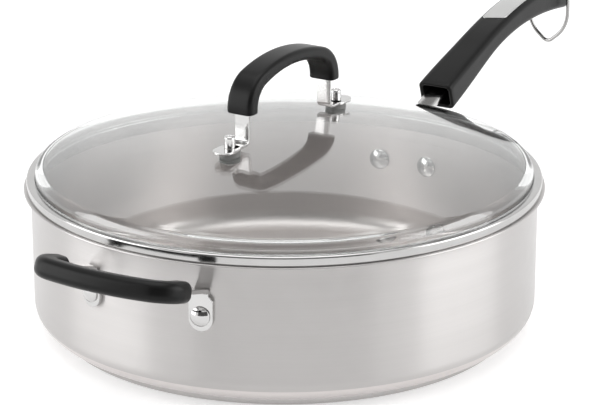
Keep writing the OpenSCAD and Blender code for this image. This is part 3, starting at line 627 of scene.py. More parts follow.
def polished_steel(name, base, rough, groups):
    """Polished steel with handling marks that dull it slightly and a fine uneven surface."""
    material, nodes, output = new_material(name)
    marks = nodes.add("ShaderNodeGroup", node_tree=groups["marks"])
    marks.inputs["Size"].default_value = 60.0
    grain = nodes.add("ShaderNodeGroup", node_tree=groups["grain"])
    bump = nodes.add(
        "ShaderNodeBump", {"Height": grain.outputs["Tone"], "Strength": 0.06, "Distance": 0.2 * MM}
    )
    nodes.principled(
        {
            "Base Color": shaded(nodes, grain.outputs["Tone"], base, 0.95, 1.03),
            "Metallic": 1.0,
            "Roughness": nodes.ramp(marks.outputs["Mask"], 0.0, 1.0, rough, rough + 0.1),
            "Normal": bump.outputs[0],
        },
        output,
    )
    return material


def moulded_plastic(name, base, rough, groups, grain_depth=0.03):
    """Plastic or rubber with moulded grain, a little uneven in tone and in gloss."""
    material, nodes, output = new_material(name)
    grain = nodes.add("ShaderNodeGroup", node_tree=groups["grain"])
    marks = nodes.add("ShaderNodeGroup", node_tree=groups["marks"])
    bump = nodes.add(
        "ShaderNodeBump",
        {"Height": grain.outputs["Height"], "Strength": 0.5, "Distance": grain_depth * MM},
    )
    nodes.principled(
        {
            "Base Color": shaded(nodes, grain.outputs["Tone"], base, 0.85, 1.2),
            "Roughness": nodes.ramp(marks.outputs["Mask"], 0.0, 1.0, rough, rough - 0.07),
            "Specular IOR Level": 0.18,
            "Normal": bump.outputs[0],
        },
        output,
    )
    return material


def lid_glass_material(groups):
    """Clear tempered glass, a touch smeared. Shadow rays pass so that the pan inside is lit."""
    material, nodes, output = new_material("Tempered glass")
    marks = nodes.add("ShaderNodeGroup", node_tree=groups["marks"]).outputs["Mask"]
    surface = nodes.add(
        "ShaderNodeBsdfPrincipled",
        {
            "Base Color": (0.97, 0.98, 0.975, 1),
            "Roughness": nodes.ramp(marks, 0.0, 1.0, 0.0, 0.02),
            "IOR": 1.75,
            "Transmission Weight": 1.0,
        },
    )
    clear = nodes.add("ShaderNodeBsdfTransparent", {"Color": (0.94, 0.95, 0.945, 1)})
    path = nodes.add("ShaderNodeLightPath")
    passes = nodes.math("MAXIMUM", path.outputs["Is Shadow Ray"], path.outputs["Is Diffuse Ray"])
    mixed = nodes.add("ShaderNodeMixShader", {0: passes, 1: surface.outputs[0], 2: clear.outputs[0]})
    nodes.tree.links.new(mixed.outputs[0], output.inputs[0])
    return material


def material_named(name):
    """One of the object's materials, built with the others on the first call."""
    if "Brushed lines" not in bpy.data.node_groups:
        finish = bpy.context.scene.saute_finish
        groups = {"brushed": brushed_group(), "marks": handling_group(), "grain": grain_group()}
        lines = finish.brush_lines
        brushed_steel("Brushed steel", finish.steel, 0.31, lines, groups, 0.92)
        # Painted light: a lighter copy of the brushed steel for the inside of the same sheet.
        brushed_steel("Inside steel painted lighter", finish.inside, 0.3, lines, groups, 0.7)
        brushed_steel("Base steel", finish.steel, 0.2, lines / 2, groups, 0.4)
        polished_steel(POLISHED, finish.fitting, 0.09, groups)
        # Painted reflection: a darker copy of the polished steel for the rim band.
        polished_steel("Rim steel painted darker", finish.rim, 0.13, groups)
        # Painted reflection: a darker copy of the polished steel for the wire loop.
        polished_steel("Wire steel painted darker", finish.wire, 0.2, groups)
        polished_steel("Satin inlay", finish.inlay, 0.34, groups)
        polished_steel("Core aluminium", finish.inlay, 0.45, groups)
        moulded_plastic("Grip plastic", finish.plastic, 0.36, groups)
        moulded_plastic("Seal rubber", finish.rubber, 0.6, groups, 0.05)
        lid_glass_material(groups)
    return bpy.data.materials[name]


def finish_node(node, name):
    """Gives a CAD node that stays one of the object's materials."""
    slots = frame["nodes"][node].data.materials
    slots.clear()
    slots.append(material_named(name))


# ---- Operators ----
class SAUTE_OT_pan_body(bpy.types.Operator):
    """The pan's one sheet: floor, round corner, wall and flared lip"""

    bl_idname = "saute.pan_body"
    bl_label = "Pan body"

    def execute(self, context):
        pan = context.scene.saute_pan
        inner = pan.wall_radius - pan.sheet
        bend_x, bend_z = inner + pan.lip_bend, pan.rim_height - pan.lip_bend
        corner_x = pan.wall_radius - pan.corner
        corner_z = pan.base_height + pan.corner
        floor = pan.base_height + pan.sheet
        roll = pan.sheet / 2
        profile = np.concatenate([
            line([INNERMOST, pan.base_height], [corner_x, pan.base_height], 12),
            arc(corner_x, corner_z, pan.corner, -90, 0, 16)[1:],
            line([pan.wall_radius, corner_z], [pan.wall_radius, bend_z], 10)[1:],
            arc(bend_x, bend_z, pan.lip_bend - pan.sheet, 180, 90, 8)[1:],
            arc(LIP_RADIUS - roll, pan.rim_height - roll, roll, -90, 90, 8),
            arc(bend_x, bend_z, pan.lip_bend, 90, 180, 8),
            line([inner, bend_z], [inner, corner_z], 10)[1:],
            arc(corner_x, corner_z, pan.corner - pan.sheet, 0, -90, 16)[1:],
            line([corner_x, floor], [INNERMOST, floor], 24)[1:],
        ])
        piece = add_piece(
            "pan_body_sheet", [shell(turned_grid(profile, pan.steps))],
            "pan_body", "Brushed steel",
        )
        # Faces inside the pan take the lighter copy of the steel colour: painted light.
        piece.data.materials.append(material_named("Inside steel painted lighter"))
        middles = np.zeros(len(piece.data.polygons) * 3)
        piece.data.polygons.foreach_get("center", middles)
        middles = middles.reshape(-1, 3)
        near = 0.1 * MM
        within = np.hypot(middles[:, 0], middles[:, 1]) < inner + near
        inside = within & (middles[:, 2] > floor - near)
        piece.data.polygons.foreach_set("material_index", inside.astype(np.int32))
        return {"FINISHED"}


class SAUTE_OT_base(bpy.types.Operator):
    """The clad base: a turned steel cap with a soft lower edge, over its aluminium core"""

    bl_idname = "saute.base"
    bl_label = "Clad base"

    def execute(self, context):
        pan = context.scene.saute_pan
        top, edge, sheet = pan.base_height, pan.base_edge, pan.base_sheet
        inner = BASE_RADIUS - sheet
        profile = np.concatenate([
            line([INNERMOST, 0], [BASE_RADIUS - edge, 0], 12),
            arc(BASE_RADIUS - edge, edge, edge, -90, 0, 8)[1:],
            arc(BASE_RADIUS - 0.25 * sheet, top - 0.25 * sheet, 0.25 * sheet, 0, 90, 3),
            line([inner, top], [inner, edge], 2),
            arc(BASE_RADIUS - edge, edge, edge - sheet, 0, -90, 6)[1:],
            line([BASE_RADIUS - edge, sheet], [INNERMOST, sheet], 4)[1:],
        ])
        add_piece(
            "base_cap_sheet", [shell(turned_grid(profile, pan.steps))],
            "base_cap", "Base steel",
        )
        finish_node("base_core", "Core aluminium")
        return {"FINISHED"}


class SAUTE_OT_lid_glass(bpy.types.Operator):
    """The lid's glass: a shallow round cap, a shoulder, a short side and a flange"""

    bl_idname = "saute.lid_glass"
    bl_label = "Lid glass"

    def execute(self, context):
        pan, lid = context.scene.saute_pan, context.scene.saute_lid
        flange = pan.rim_height + lid.band
        rim = LIP_RADIUS - lid.band_inset - lid.band - HOLE_GAP
        side = LIP_RADIUS - lid.band_inset - lid.flange - HOLE_GAP
        centre = LID_TOP - lid.dome_radius

        def dome(edge, radius, shoulder):
            """Cap from the pole down to the shoulder, then the shoulder's arc to the side."""
            x = edge - shoulder
            z = centre + math.sqrt((radius - shoulder) ** 2 - x**2)
            sweep = math.degrees(math.asin(x / (radius - shoulder)))
            cap = arc(0, centre, radius, 90 - 0.2, 90 - sweep, 60)
            return np.concatenate([cap, arc(x, z, shoulder, 90 - sweep, 0, 10)[1:]])

        soft = 0.8 * MM
        top = flange + lid.glass
        profile = np.concatenate([
            dome(side, lid.dome_radius, lid.shoulder),
            arc(side + soft, top + soft, soft, 180, 270, 5),
            arc(rim - soft, top - soft, soft, 90, 0, 5),
            arc(rim - soft, flange + soft, soft, 0, -90, 5),
            line([rim - soft, flange], [side - lid.glass, flange], 2)[1:],
            dome(side - lid.glass, lid.dome_radius - lid.glass, lid.shoulder - lid.glass / 2)[::-1],
        ])
        add_piece(
            "lid_dome", [shell(turned_grid(profile, pan.steps))],
            "lid_glass", "Tempered glass",
        )
        return {"FINISHED"}


class SAUTE_OT_lid_band(bpy.types.Operator):
    """The steel band that clasps the glass, with a skirt inside the pan"""

    bl_idname = "saute.lid_band"
    bl_label = "Lid band"

    def execute(self, context):
        pan, lid = context.scene.saute_pan, context.scene.saute_lid
        outer = LIP_RADIUS - lid.band_inset
        skirt = pan.wall_radius - pan.sheet - lid.skirt_gap
        seat = pan.rim_height
        top = seat + lid.band + lid.glass + SEAT_GAP
        low = seat - lid.skirt
        sheet = lid.band
        inner = outer - lid.flange
        corners = [
            (skirt - sheet, low), (skirt, low), (skirt, seat), (outer, seat),
            (outer, top + sheet), (inner, top + sheet), (inner, top), (outer - sheet, top),
            (outer - sheet, seat + sheet), (skirt - sheet, seat + sheet),
        ]
        radii = np.array([0.3, 0.3, 0.2, 0.9, 1.3, 0.35, 0.2, 0.5, 0.2, 0.5]) * MM
        profile = rounded_path(corners, radii)
        # The band takes the darker copy of the polished steel: painted reflection.
        add_piece(
            "lid_rim_band", [shell(turned_grid(profile, pan.steps), closed_rows=True)],
            "lid_band", "Rim steel painted darker",
        )
        return {"FINISHED"}


def arch_frames(lid, rim_height, ends):
    """Points (x, z) of the arch's middle line with their outward angles: a straight leg, a corner
    arc, the crown's arc, the far corner and the far leg."""
    top = ARCH_TOP - lid.grip_crown / 2
    corner_x = lid.leg - lid.corner
    corner_z = rim_height + lid.end_height + lid.straight
    rise = top - corner_z
    crown = (corner_x**2 + rise**2 - lid.corner**2) / (2 * (rise - lid.corner))
    crown_z = top - crown
    sweep = math.degrees(math.atan2(corner_x, corner_z - crown_z))
    near = arc(corner_x, corner_z, lid.corner, 0, 90 - sweep, 14)
    half_crown = arc(0, crown_z, crown, 90 - sweep, 90, 20)[1:]
    right = np.concatenate([ends, near, half_crown])
    angles = np.concatenate([
        np.zeros(len(ends)), np.linspace(0, 90 - sweep, 15), np.linspace(90 - sweep, 90, 21)[1:]
    ])
    left = right[-2::-1] * [-1, 1]
    return (
        np.concatenate([right, left]),
        np.radians(np.concatenate([angles, 180 - angles[-2::-1]])),
    )


def in_lid(points, turn):
    """Points turned about Z with the lid."""
    c, s = math.cos(turn), math.sin(turn)
    return placed(points, [0, 0, 0], [c, s, 0], [-s, c, 0], [0, 0, 1])


class SAUTE_OT_lid_handle(bpy.types.Operator):
    """The lid's arch: a moulded grip, a steel strap with round feet, and two barrel nuts"""

    bl_idname = "saute.lid_handle"
    bl_label = "Lid handle"

    def execute(self, context):
        pan, lid = context.scene.saute_pan, context.scene.saute_lid
        end = pan.rim_height + lid.end_height
        soft = 1.0 * MM
        t = np.radians(np.linspace(90, 0, 6))
        shrink = soft * (1 - np.cos(t))
        legs = np.stack([np.full(6, lid.leg), end + soft * (1 - np.sin(t))], axis=1)
        path, angle = arch_frames(lid, pan.rim_height, legs)
        inset = np.zeros(len(path))
        inset[:6], inset[-6:] = shrink, shrink[::-1]
        thick = lid.grip_crown + (lid.grip_ends - lid.grip_crown) * (path[:, 0] / lid.leg) ** 2
        places = upright(path[:, 0], path[:, 1])
        across = np.broadcast_to([0.0, 1.0, 0.0], places.shape)
        up = upright(np.cos(angle), np.sin(angle))
        outline = section(lid.grip_width - 2 * inset, thick - 2 * inset, lid.grip_edge, 8, 6)
        points, faces = shell(rings_of(places, across, up, outline))
        add_piece(
            "lid_arch_grip", [(in_lid(points, lid.turn), faces)],
            "lid_grip", "Grip plastic", crease=60,
        )

        foot_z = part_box("lid_strap")[0].z
        middle = foot_z + lid.strap / 2
        bend = lid.foot_bend + lid.strap / 2
        bend_x = lid.leg + bend
        foot_end = lid.fixing + lid.foot_reach - lid.foot_width / 2
        into_grip, foot_edge = 3 * MM, 0.35 * MM
        parts = []
        for side in (1, -1):
            leg = np.concatenate([
                line([lid.leg, end + into_grip], [lid.leg, middle + bend], 4),
                arc(bend_x, middle + bend, bend, 180, 270, 8)[1:],
                line([bend_x, middle], [lid.fixing, middle], 2)[1:],
            ]) * [side, 1]
            parts.append(band_along(leg, lid.strap_width, lid.strap, STRAP_EDGE))
            half = lid.foot_width / 2
            outline = np.concatenate([
                arc(lid.fixing, 0, half, 90, 270, 24), arc(foot_end, 0, half, -90, 90, 24),
            ])
            parts.append(plate(
                outline, lid.strap, foot_edge,
                lambda u, v, d, s=side: np.stack([s * u, v, foot_z + d], axis=2),
            ))
        parts = [(in_lid(points, lid.turn), faces) for points, faces in parts]
        add_piece("lid_arch_strap", parts, "lid_strap")

        seat = foot_z + lid.strap
        wide, tall = lid.barrel_width / 2, lid.barrel_height
        edge = wide * 0.4
        neck, below, soft, slot = 2.3 * MM, 8 * MM, 0.2 * MM, 1.2 * MM
        profile = np.concatenate([
            line([neck, -below], [neck, 0]), line([wide - soft, 0], [wide, soft]),
            arc(wide - edge, tall - edge, edge, 0, 90, 8),
            line([slot, tall], [slot - soft, tall - 2 * soft]),
        ])
        for side, word in ((1, "right"), (-1, "left")):
            points, faces = shell(turned_grid(profile, 48))
            points = points + [side * lid.fixing, 0, seat]
            add_piece(
                "lid_nut_" + word, [(in_lid(points, lid.turn), faces)],
                "lid_barrel_" + word,
            )
        for word in ("left", "right"):
            finish_node("lid_gasket_" + word, "Seal rubber")
            finish_node("lid_washer_" + word, "Seal rubber")
            finish_node("lid_screw_" + word, POLISHED)
        return {"FINISHED"}


class Grip:
    """The long grip's middle line and size: a straight part, then an arc that bends down.
    Its width and thickness blend from front to waist to tip along a half cosine."""

    WAIST_AT, TIP_AT, TIP_ROUND = 0.41, 0.9, 13 * MM

    def __init__(self, sizes):
        self.k = sizes
        c, s = math.cos(sizes.slope), math.sin(sizes.slope)
        self.bend_x = sizes.start + sizes.straight * c
        self.curve_x = self.bend_x + sizes.curve * s
        self.curve_z = sizes.start_height + sizes.straight * s - sizes.curve * c
        tip = math.asin((GRIP_END - self.curve_x) / sizes.curve)
        self.length = sizes.straight + sizes.curve * (sizes.slope + tip)

    def slope(self, s):
        return self.k.slope - np.maximum(0, s - self.k.straight) / self.k.curve

    def middle(self, s):
        k = self.k
        a = self.slope(s)
        on_line = s < k.straight
        x = np.where(on_line, k.start + s * math.cos(k.slope), self.curve_x - k.curve * np.sin(a))
        z = np.where(
            on_line, k.start_height + s * math.sin(k.slope), self.curve_z + k.curve * np.cos(a)
        )
        return x, z

    def swell(self, s, front, waist, tip):
        f = s / self.length
        fall = (1 - np.cos(np.pi * np.clip(1 - f / self.WAIST_AT, 0, 1))) / 2
        rise = (f - self.WAIST_AT) / (self.TIP_AT - self.WAIST_AT)
        rise = (1 - np.cos(np.pi * np.clip(rise, 0, 1))) / 2
        return np.where(f < self.WAIST_AT, waist + (front - waist) * fall, waist + (tip - waist) * rise)

    def along(self, x):
        k = self.k
        a = np.arcsin(np.clip((x - self.curve_x) / k.curve, -1, 1))
        return np.where(
            x < self.bend_x, (x - k.start) / math.cos(k.slope), k.straight + k.curve * (k.slope + a)
        )

    def width(self, s):
        return self.swell(s, self.k.front_width, self.k.waist_width, self.k.tip_width)

    def thick(self, s):
        return self.swell(s, self.k.front, self.k.waist, self.k.tip)

    def rings(self, s, outline):
        x, z = self.middle(s)
        a = self.slope(s)
        places = upright(x, z)
        across = np.broadcast_to([0.0, 1.0, 0.0], places.shape)
        up = upright(-np.sin(a), np.cos(a))
        return rings_of(places, across, up, outline)


class SAUTE_OT_long_handle(bpy.types.Operator):
    """The long handle: riveted steel bracket and tang, moulded grip and its slanted inlay"""

    bl_idname = "saute.long_handle"
    bl_label = "Long handle"

    def execute(self, context):
        pan, k = context.scene.saute_pan, context.scene.saute_handle
        grip = Grip(k)
        soft = 0.9 * MM
        a = np.radians(np.linspace(0, 180, 11))
        mouth_s, mouth_in = soft * (1 - np.sin(a)), (1 - np.cos(a)) / 2 * k.wall
        f = np.linspace(0, 1, 61)[1:]
        body = grip.length * np.where(
            f < 0.75, f / 0.75 * 0.93, 0.93 + 0.07 * np.sin(2 * np.pi * (f - 0.75))
        )
        body = np.maximum(body, soft)
        gap = np.maximum(0, body - grip.length + grip.TIP_ROUND) / grip.TIP_ROUND
        closing = np.sqrt(np.maximum(0.0016, 1 - gap**2))
        s = np.concatenate([body[::-1], mouth_s, [k.hollow]])
        inset = np.concatenate([np.zeros(len(body)), mouth_in, [k.wall]])
        shut = np.concatenate([closing[::-1], np.ones(len(mouth_s) + 1)])
        outline = section(
            grip.width(s) * shut - 2 * inset, grip.thick(s) * shut - 2 * inset,
            np.maximum(k.edge - 0.6 * inset, MM), 8, 8,
        )
        add_piece(
            "handle_long_grip", [shell(grip.rings(s, outline))],
            "handle_grip", "Grip plastic", crease=60,
        )

        x0, x1 = k.inlay_start, GRIP_END - k.inlay_end
        half, slant = k.inlay_width / 2, k.inlay_slant / 2
        corner, thick, inlay_edge = 3 * MM, 1.2 * MM, 0.35 * MM
        edge = corner * (1 - np.cos(np.radians(np.linspace(8, 90, 10))))
        rows = np.concatenate([
            x0 + edge, np.linspace(x0 + corner, x1 - corner, 50)[1:-1], x1 - edge[::-1]
        ])
        near = corner - np.minimum(np.minimum(rows - x0, x1 - rows), corner)
        wide = 2 * (half - corner + np.sqrt(corner**2 - near**2))
        outline = section(wide, thick, inlay_edge, 4, 8)
        m, n = outline[:, :, 0], outline[:, :, 1]
        fade = ((x1 - rows) / (x1 - x0))[:, None]

        def on_grip(u, v, depth):
            """A point u along, v across and depth up goes to the grip's top at that u."""
            s = grip.along(u)
            x, z = grip.middle(s)
            a = grip.slope(s)
            h = grip.thick(s) / 2 + k.inlay_proud - thick + depth
            return np.stack([x - h * np.sin(a), v, z + h * np.cos(a)], axis=2)

        add_piece(
            "handle_top_inlay",
            [shell(on_grip(rows[:, None] - slant * fade * m / half, m, n + thick / 2))],
            "handle_inlay", "Satin inlay",
        )

        bend = k.bend + k.tang / 2
        bend_x = pan.wall_radius + SEAT_GAP + k.tang + k.bend + 2 * BEND_SLIM
        out_x = bend_x - bend * math.sin(k.slope)
        out_z = (
            k.start_height + k.tang_rise / math.cos(k.slope)
            - (k.start - out_x) * math.tan(k.slope)
        )
        top = out_z - bend * math.cos(k.slope)
        run = (k.start - out_x) / math.cos(k.slope) - k.tang_rise * math.tan(k.slope) + k.tang_reach
        slope = math.degrees(k.slope)
        behind, tuck = 4 * MM, 0.1 * MM
        end = [out_x + run * math.cos(k.slope), out_z + run * math.sin(k.slope)]
        path = np.concatenate([
            line([bend_x - bend, top - behind], [bend_x - bend, top], 2),
            arc(bend_x, top, bend, 180, 90 + slope, 12)[1:],
            line([out_x, out_z], end, 6)[1:],
        ])
        half = k.rivet_spread / 2
        pad = k.rivet_width / 2 + k.margin
        neck = np.array([k.tang_width / 2, top - k.rivet_height + tuck])
        away = neck - [half, 0]
        side = math.degrees(math.atan2(away[1], away[0]) - math.acos(pad / np.linalg.norm(away)))
        right = arc(half, k.rivet_height, pad, -90, side, 24)
        neck_line = line(right[-1], neck + [0, k.rivet_height], 10)[1:]
        right = np.concatenate([right, neck_line])
        outline = np.concatenate([right, right[::-1] * [-1, 1]])
        foot = plate(outline, k.tang, 0.5 * MM, on_wall(0))
        tang = band_along(path, k.tang_width, k.tang, PLATE_EDGE)
        add_piece("handle_wall_bracket", [foot, tang], "handle_bracket")
        angle = math.asin(half / pan.wall_radius)
        for word, turn in (("left", angle), ("right", -angle)):
            add_piece(
                "handle_stud_" + word, [wall_rivet(k.rivet_width, k.rivet_rise, k.tang, turn)],
                "handle_rivet_" + word,
            )
        return {"FINISHED"}


class SAUTE_OT_hanging_loop(bpy.types.Operator):
    """The wire loop at the handle's tip, which swings on two pins"""

    bl_idname = "saute.hanging_loop"
    bl_label = "Hanging loop"

    def execute(self, context):
        k, handle = context.scene.saute_loop, context.scene.saute_handle
        elbow_y = handle.tip_width / 2 + k.elbow_gap
        leg_y = elbow_y + k.elbow
        tip_z = k.tip - k.drop
        dy, dz = leg_y - k.bend, -k.leg - tip_z
        lean = math.degrees(
            math.acos((k.tip - k.bend) / math.hypot(dy, dz)) - math.atan2(dz, dy)
        )
        right = np.concatenate([
            line([elbow_y - k.elbow_gap - k.pin, 0], [elbow_y, 0], 3),
            arc(elbow_y, -k.elbow, k.elbow, 90, 0, 8)[1:],
            arc(dy, -k.leg, k.bend, 0, -lean, 14),
            arc(0, tip_z, k.tip, -lean, -90, 14),
        ])
        path = np.concatenate([right, right[-2::-1] * [-1, 1]])
        tangent = unit(np.gradient(path, axis=0))
        zero = np.zeros(len(path))
        places = np.stack([zero, path[:, 0], path[:, 1]], axis=1) + PIVOT
        across = np.stack([zero, tangent[:, 1], -tangent[:, 0]], axis=1)
        up = np.broadcast_to([1.0, 0.0, 0.0], places.shape)
        round_wire = arc(0, 0, k.wire / 2, 0, 360, 20)[:-1]
        outline = np.broadcast_to(round_wire, (len(path), 20, 2)).copy()
        # The loop takes the darker copy of the polished steel: painted reflection.
        add_piece(
            "tip_wire_loop", [shell(rings_of(places, across, up, outline))],
            "hanging_loop", "Wire steel painted darker", body="loop",
        )
        return {"FINISHED"}


class HelperPath:
    """The helper handle's middle line: two arms that slope up from the wall and turn inward,
    a corner arc on each, and a bar that keeps its distance from the pan's middle."""

    def __init__(self, pan, k):
        self.bend = bend = k.bend + k.strap / 2
        self.bend_x = pan.wall_radius + SEAT_GAP + k.strap + k.bend
        self.out_x = self.bend_x - bend * math.sin(k.slope)
        self.foot_top = bpy.context.scene.saute_handle.rivet_height + k.foot_rise
        self.out_z = self.foot_top + bend * math.cos(k.slope)
        run = (pan.wall_radius + k.reach - self.out_x) / math.cos(k.slope)
        self.arm = (run - k.corner * (1 - math.sin(k.toe))) / math.cos(k.toe)
        inward = self.arm * math.sin(k.toe) + k.corner * math.cos(k.toe)
        far = pan.wall_radius + k.reach
        self.bar_radius = math.hypot(far, inward)
        self.bar_z = self.out_z + run * math.sin(k.slope)
        self.bar_angle = k.half_angle - math.atan2(inward, far)
        self.k = k

    def arm_frames(self, side, start):
        """Places, across and up directions along one arm from start, then round its corner."""
        k = self.k
        root = math.pi - side * k.half_angle
        c, s = math.cos(k.slope), math.sin(k.slope)
        out = np.array([c * math.cos(root), c * math.sin(root), s])
        inward = side * np.array([-math.sin(root), math.cos(root), 0])
        up = np.array([-s * math.cos(root), -s * math.sin(root), c])
        first = k.toe - math.pi / 2
        cx = self.arm * math.cos(k.toe) - k.corner * math.sin(k.toe)
        cy = self.arm * math.sin(k.toe) + k.corner * math.cos(k.toe)
        a = np.concatenate([np.full(len(start), first), first * (1 - np.arange(17) / 16)])
        x = np.concatenate([start * math.cos(k.toe), cx + k.corner * np.cos(a[len(start):])])
        y = np.concatenate([start * math.sin(k.toe), cy + k.corner * np.sin(a[len(start):])])
        origin = np.array([self.out_x * math.cos(root), self.out_x * math.sin(root), self.out_z])
        places = origin + x[:, None] * out + y[:, None] * inward
        across = np.cos(a)[:, None] * out + np.sin(a)[:, None] * inward
        return places, across, np.broadcast_to(up, places.shape)

    def frames(self, start):
        """All frames: one arm outward, the bar from side to side, and the other arm back."""
        near = self.arm_frames(-1, start)
        far = [v[::-1] for v in self.arm_frames(1, start)]
        a = math.pi + self.bar_angle * np.linspace(1, -1, 26)[1:-1]
        c, s = math.cos(self.k.slope), math.sin(self.k.slope)
        x, y = self.bar_radius * np.cos(a), self.bar_radius * np.sin(a)
        places = np.stack([x, y, np.full(len(a), self.bar_z)], axis=1)
        across = np.stack([c * np.cos(a), c * np.sin(a), np.full(len(a), s)], axis=1)
        up = np.stack([-s * np.cos(a), -s * np.sin(a), np.full(len(a), c)], axis=1)
        return [np.concatenate(v) for v in zip(near, (places, across, up), far)]


class SAUTE_OT_helper_handle(bpy.types.Operator):
    """The helper handle: a bent steel strap on two riveted feet, and its moulded grip"""

    bl_idname = "saute.helper_handle"
    bl_label = "Helper handle"

    def execute(self, context):
        pan, k = context.scene.saute_pan, context.scene.saute_helper
        rivet_z = context.scene.saute_handle.rivet_height
        path = HelperPath(pan, k)
        soft = 1.2 * MM
        t = np.radians(np.linspace(90, 0, 6))
        start = path.arm - k.sleeve + soft * (1 - np.sin(t))
        places, across, up = path.frames(start)
        inset = np.zeros(len(places))
        inset[:6] = soft * (1 - np.cos(t))
        inset[-6:] = inset[:6][::-1]
        outline = section(k.grip_width - 2 * inset, k.grip - 2 * inset, k.edge, 8, 4)
        add_piece(
            "helper_moulded_grip", [shell(rings_of(places, across, up, outline))],
            "helper_grip", "Grip plastic", crease=60,
        )

        tuck, behind = 0.1 * MM, 3 * MM
        toe_start = -k.strap_width / 2 * math.tan(k.toe) - tuck
        places, across, up = path.frames(np.array([toe_start, path.arm / 2]))
        outline = section(np.full(len(places), k.strap_width), k.strap, PLATE_EDGE, 4, 3)
        parts = [shell(rings_of(places, across, up, outline))]
        half, taper, top = k.foot_width / 2, 3 * MM, path.foot_top
        low = rivet_z - k.foot_drop + half
        slope = math.degrees(k.slope)
        bend = path.bend
        right = np.concatenate([
            arc(0, low, half, -90, 0, 16)[1:],
            line([half, low], [half, top - taper], 6)[1:],
            line([half, top - taper], [k.strap_width / 2, top], 4)[1:],
        ])
        outline = np.concatenate([[[0, low - half]], right, right[::-1] * [-1, 1]])
        for side in (1, -1):
            turn = math.pi - side * k.half_angle
            parts.append(plate(outline, k.strap, PLATE_EDGE, on_wall(turn)))
            leg = np.concatenate([
                line([path.bend_x - bend, top - behind], [path.bend_x - bend, top], 2),
                arc(path.bend_x, top, bend, 180, 90 + slope, 10)[1:],
            ])
            parts.append(band_along(leg, k.strap_width, k.strap, PLATE_EDGE, turn))
        add_piece("helper_bent_strap", parts, "helper_strap")
        for word, side in (("left", 1), ("right", -1)):
            turn = math.pi - side * k.half_angle
            add_piece(
                "helper_stud_" + word, [wall_rivet(k.rivet_width, k.rivet_rise, k.strap, turn)],
                "helper_rivet_" + word,
            )
        return {"FINISHED"}


def softbox(name, place, aim, size, power):
    """A rectangular area light at place that points at aim."""
    data = bpy.data.lights.new(name, "AREA")
    data.shape, data.energy = "RECTANGLE", power
    data.size, data.size_y = size
    lamp = linked(bpy.data.objects.new(name, data))
    lamp.location = place
    lamp.rotation_euler = (Vector(aim) - Vector(place)).to_track_quat("-Z", "Y").to_euler()


def surround(name, points, faces, material):
    """A mesh that is part of the stage and not of the object."""
    mesh = bpy.data.meshes.new(name)
    mesh.from_pydata(points, [], faces)
    mesh.materials.append(material)
    thing = linked(bpy.data.objects.new(name, mesh))
    return thing


def curtain(name, radius, turns, heights, strength):
    """A strip of a cylinder round the pan, seen only in reflections."""
    material, nodes, output = new_material(name)
    cloth = nodes.add("ShaderNodeEmission", {"Color": (1, 0.99, 0.98, 1), "Strength": strength})
    nodes.tree.links.new(cloth.outputs[0], output.inputs[0])
    ring = arc(0, 0, radius, turns[0], turns[1], 72)
    n = len(ring)
    points = [(x, y, z) for z in heights for x, y in ring.tolist()]
    faces = [(i, i + 1, n + i + 1, n + i) for i in range(n - 1)]
    strip = surround(name, points, faces, material)
    strip.visible_camera = False
    strip.visible_shadow = False
    strip.visible_diffuse = False


def seen_rays(nodes):
    """1 for rays from the camera, from mirrors and through glass, and 0 for the rest."""
    path = nodes.add("ShaderNodeLightPath").outputs
    mirrored = nodes.math("MAXIMUM", path["Is Glossy Ray"], path["Is Transmission Ray"])
    return nodes.math("MAXIMUM", path["Is Camera Ray"], mirrored)


def paper_material():
    """White paper that shows a shadow, and shines until it is pure white away from the pan."""
    material, nodes, output = new_material("White floor")
    place = nodes.place()
    paper = nodes.add(
        "ShaderNodeBsdfDiffuse",
        {"Color": shaded(nodes, nodes.noise(place, 3.0), (0.86, 0.86, 0.86), 0.99, 1.01)},
    )
    away = nodes.add("ShaderNodeVectorMath", {0: place}, operation="LENGTH").outputs["Value"]
    shine = nodes.math("MULTIPLY", seen_rays(nodes), nodes.ramp(away, 0.6, 2.5, 0.4, 1.0))
    glow = nodes.add("ShaderNodeEmission", {"Strength": shine})
    both = nodes.add("ShaderNodeAddShader", {0: paper.outputs[0], 1: glow.outputs[0]})
    nodes.tree.links.new(both.outputs[0], output.inputs[0])
    return material


def studio_world(even_light):
    """A world that looks white and lights the scene with the strength even_light."""
    world = bpy.data.worlds.new("Studio")
    world.use_nodes = True
    world.node_tree.nodes.clear()
    nodes = Nodes(world.node_tree)
    extra = nodes.math("MULTIPLY", seen_rays(nodes), 1 - even_light)
    strength = nodes.math("ADD", extra, even_light)
    sky = nodes.add("ShaderNodeBackground", {"Color": (1, 1, 1, 1), "Strength": strength})
    output = nodes.add("ShaderNodeOutputWorld")
    nodes.tree.links.new(sky.outputs[0], output.inputs[0])
    return world


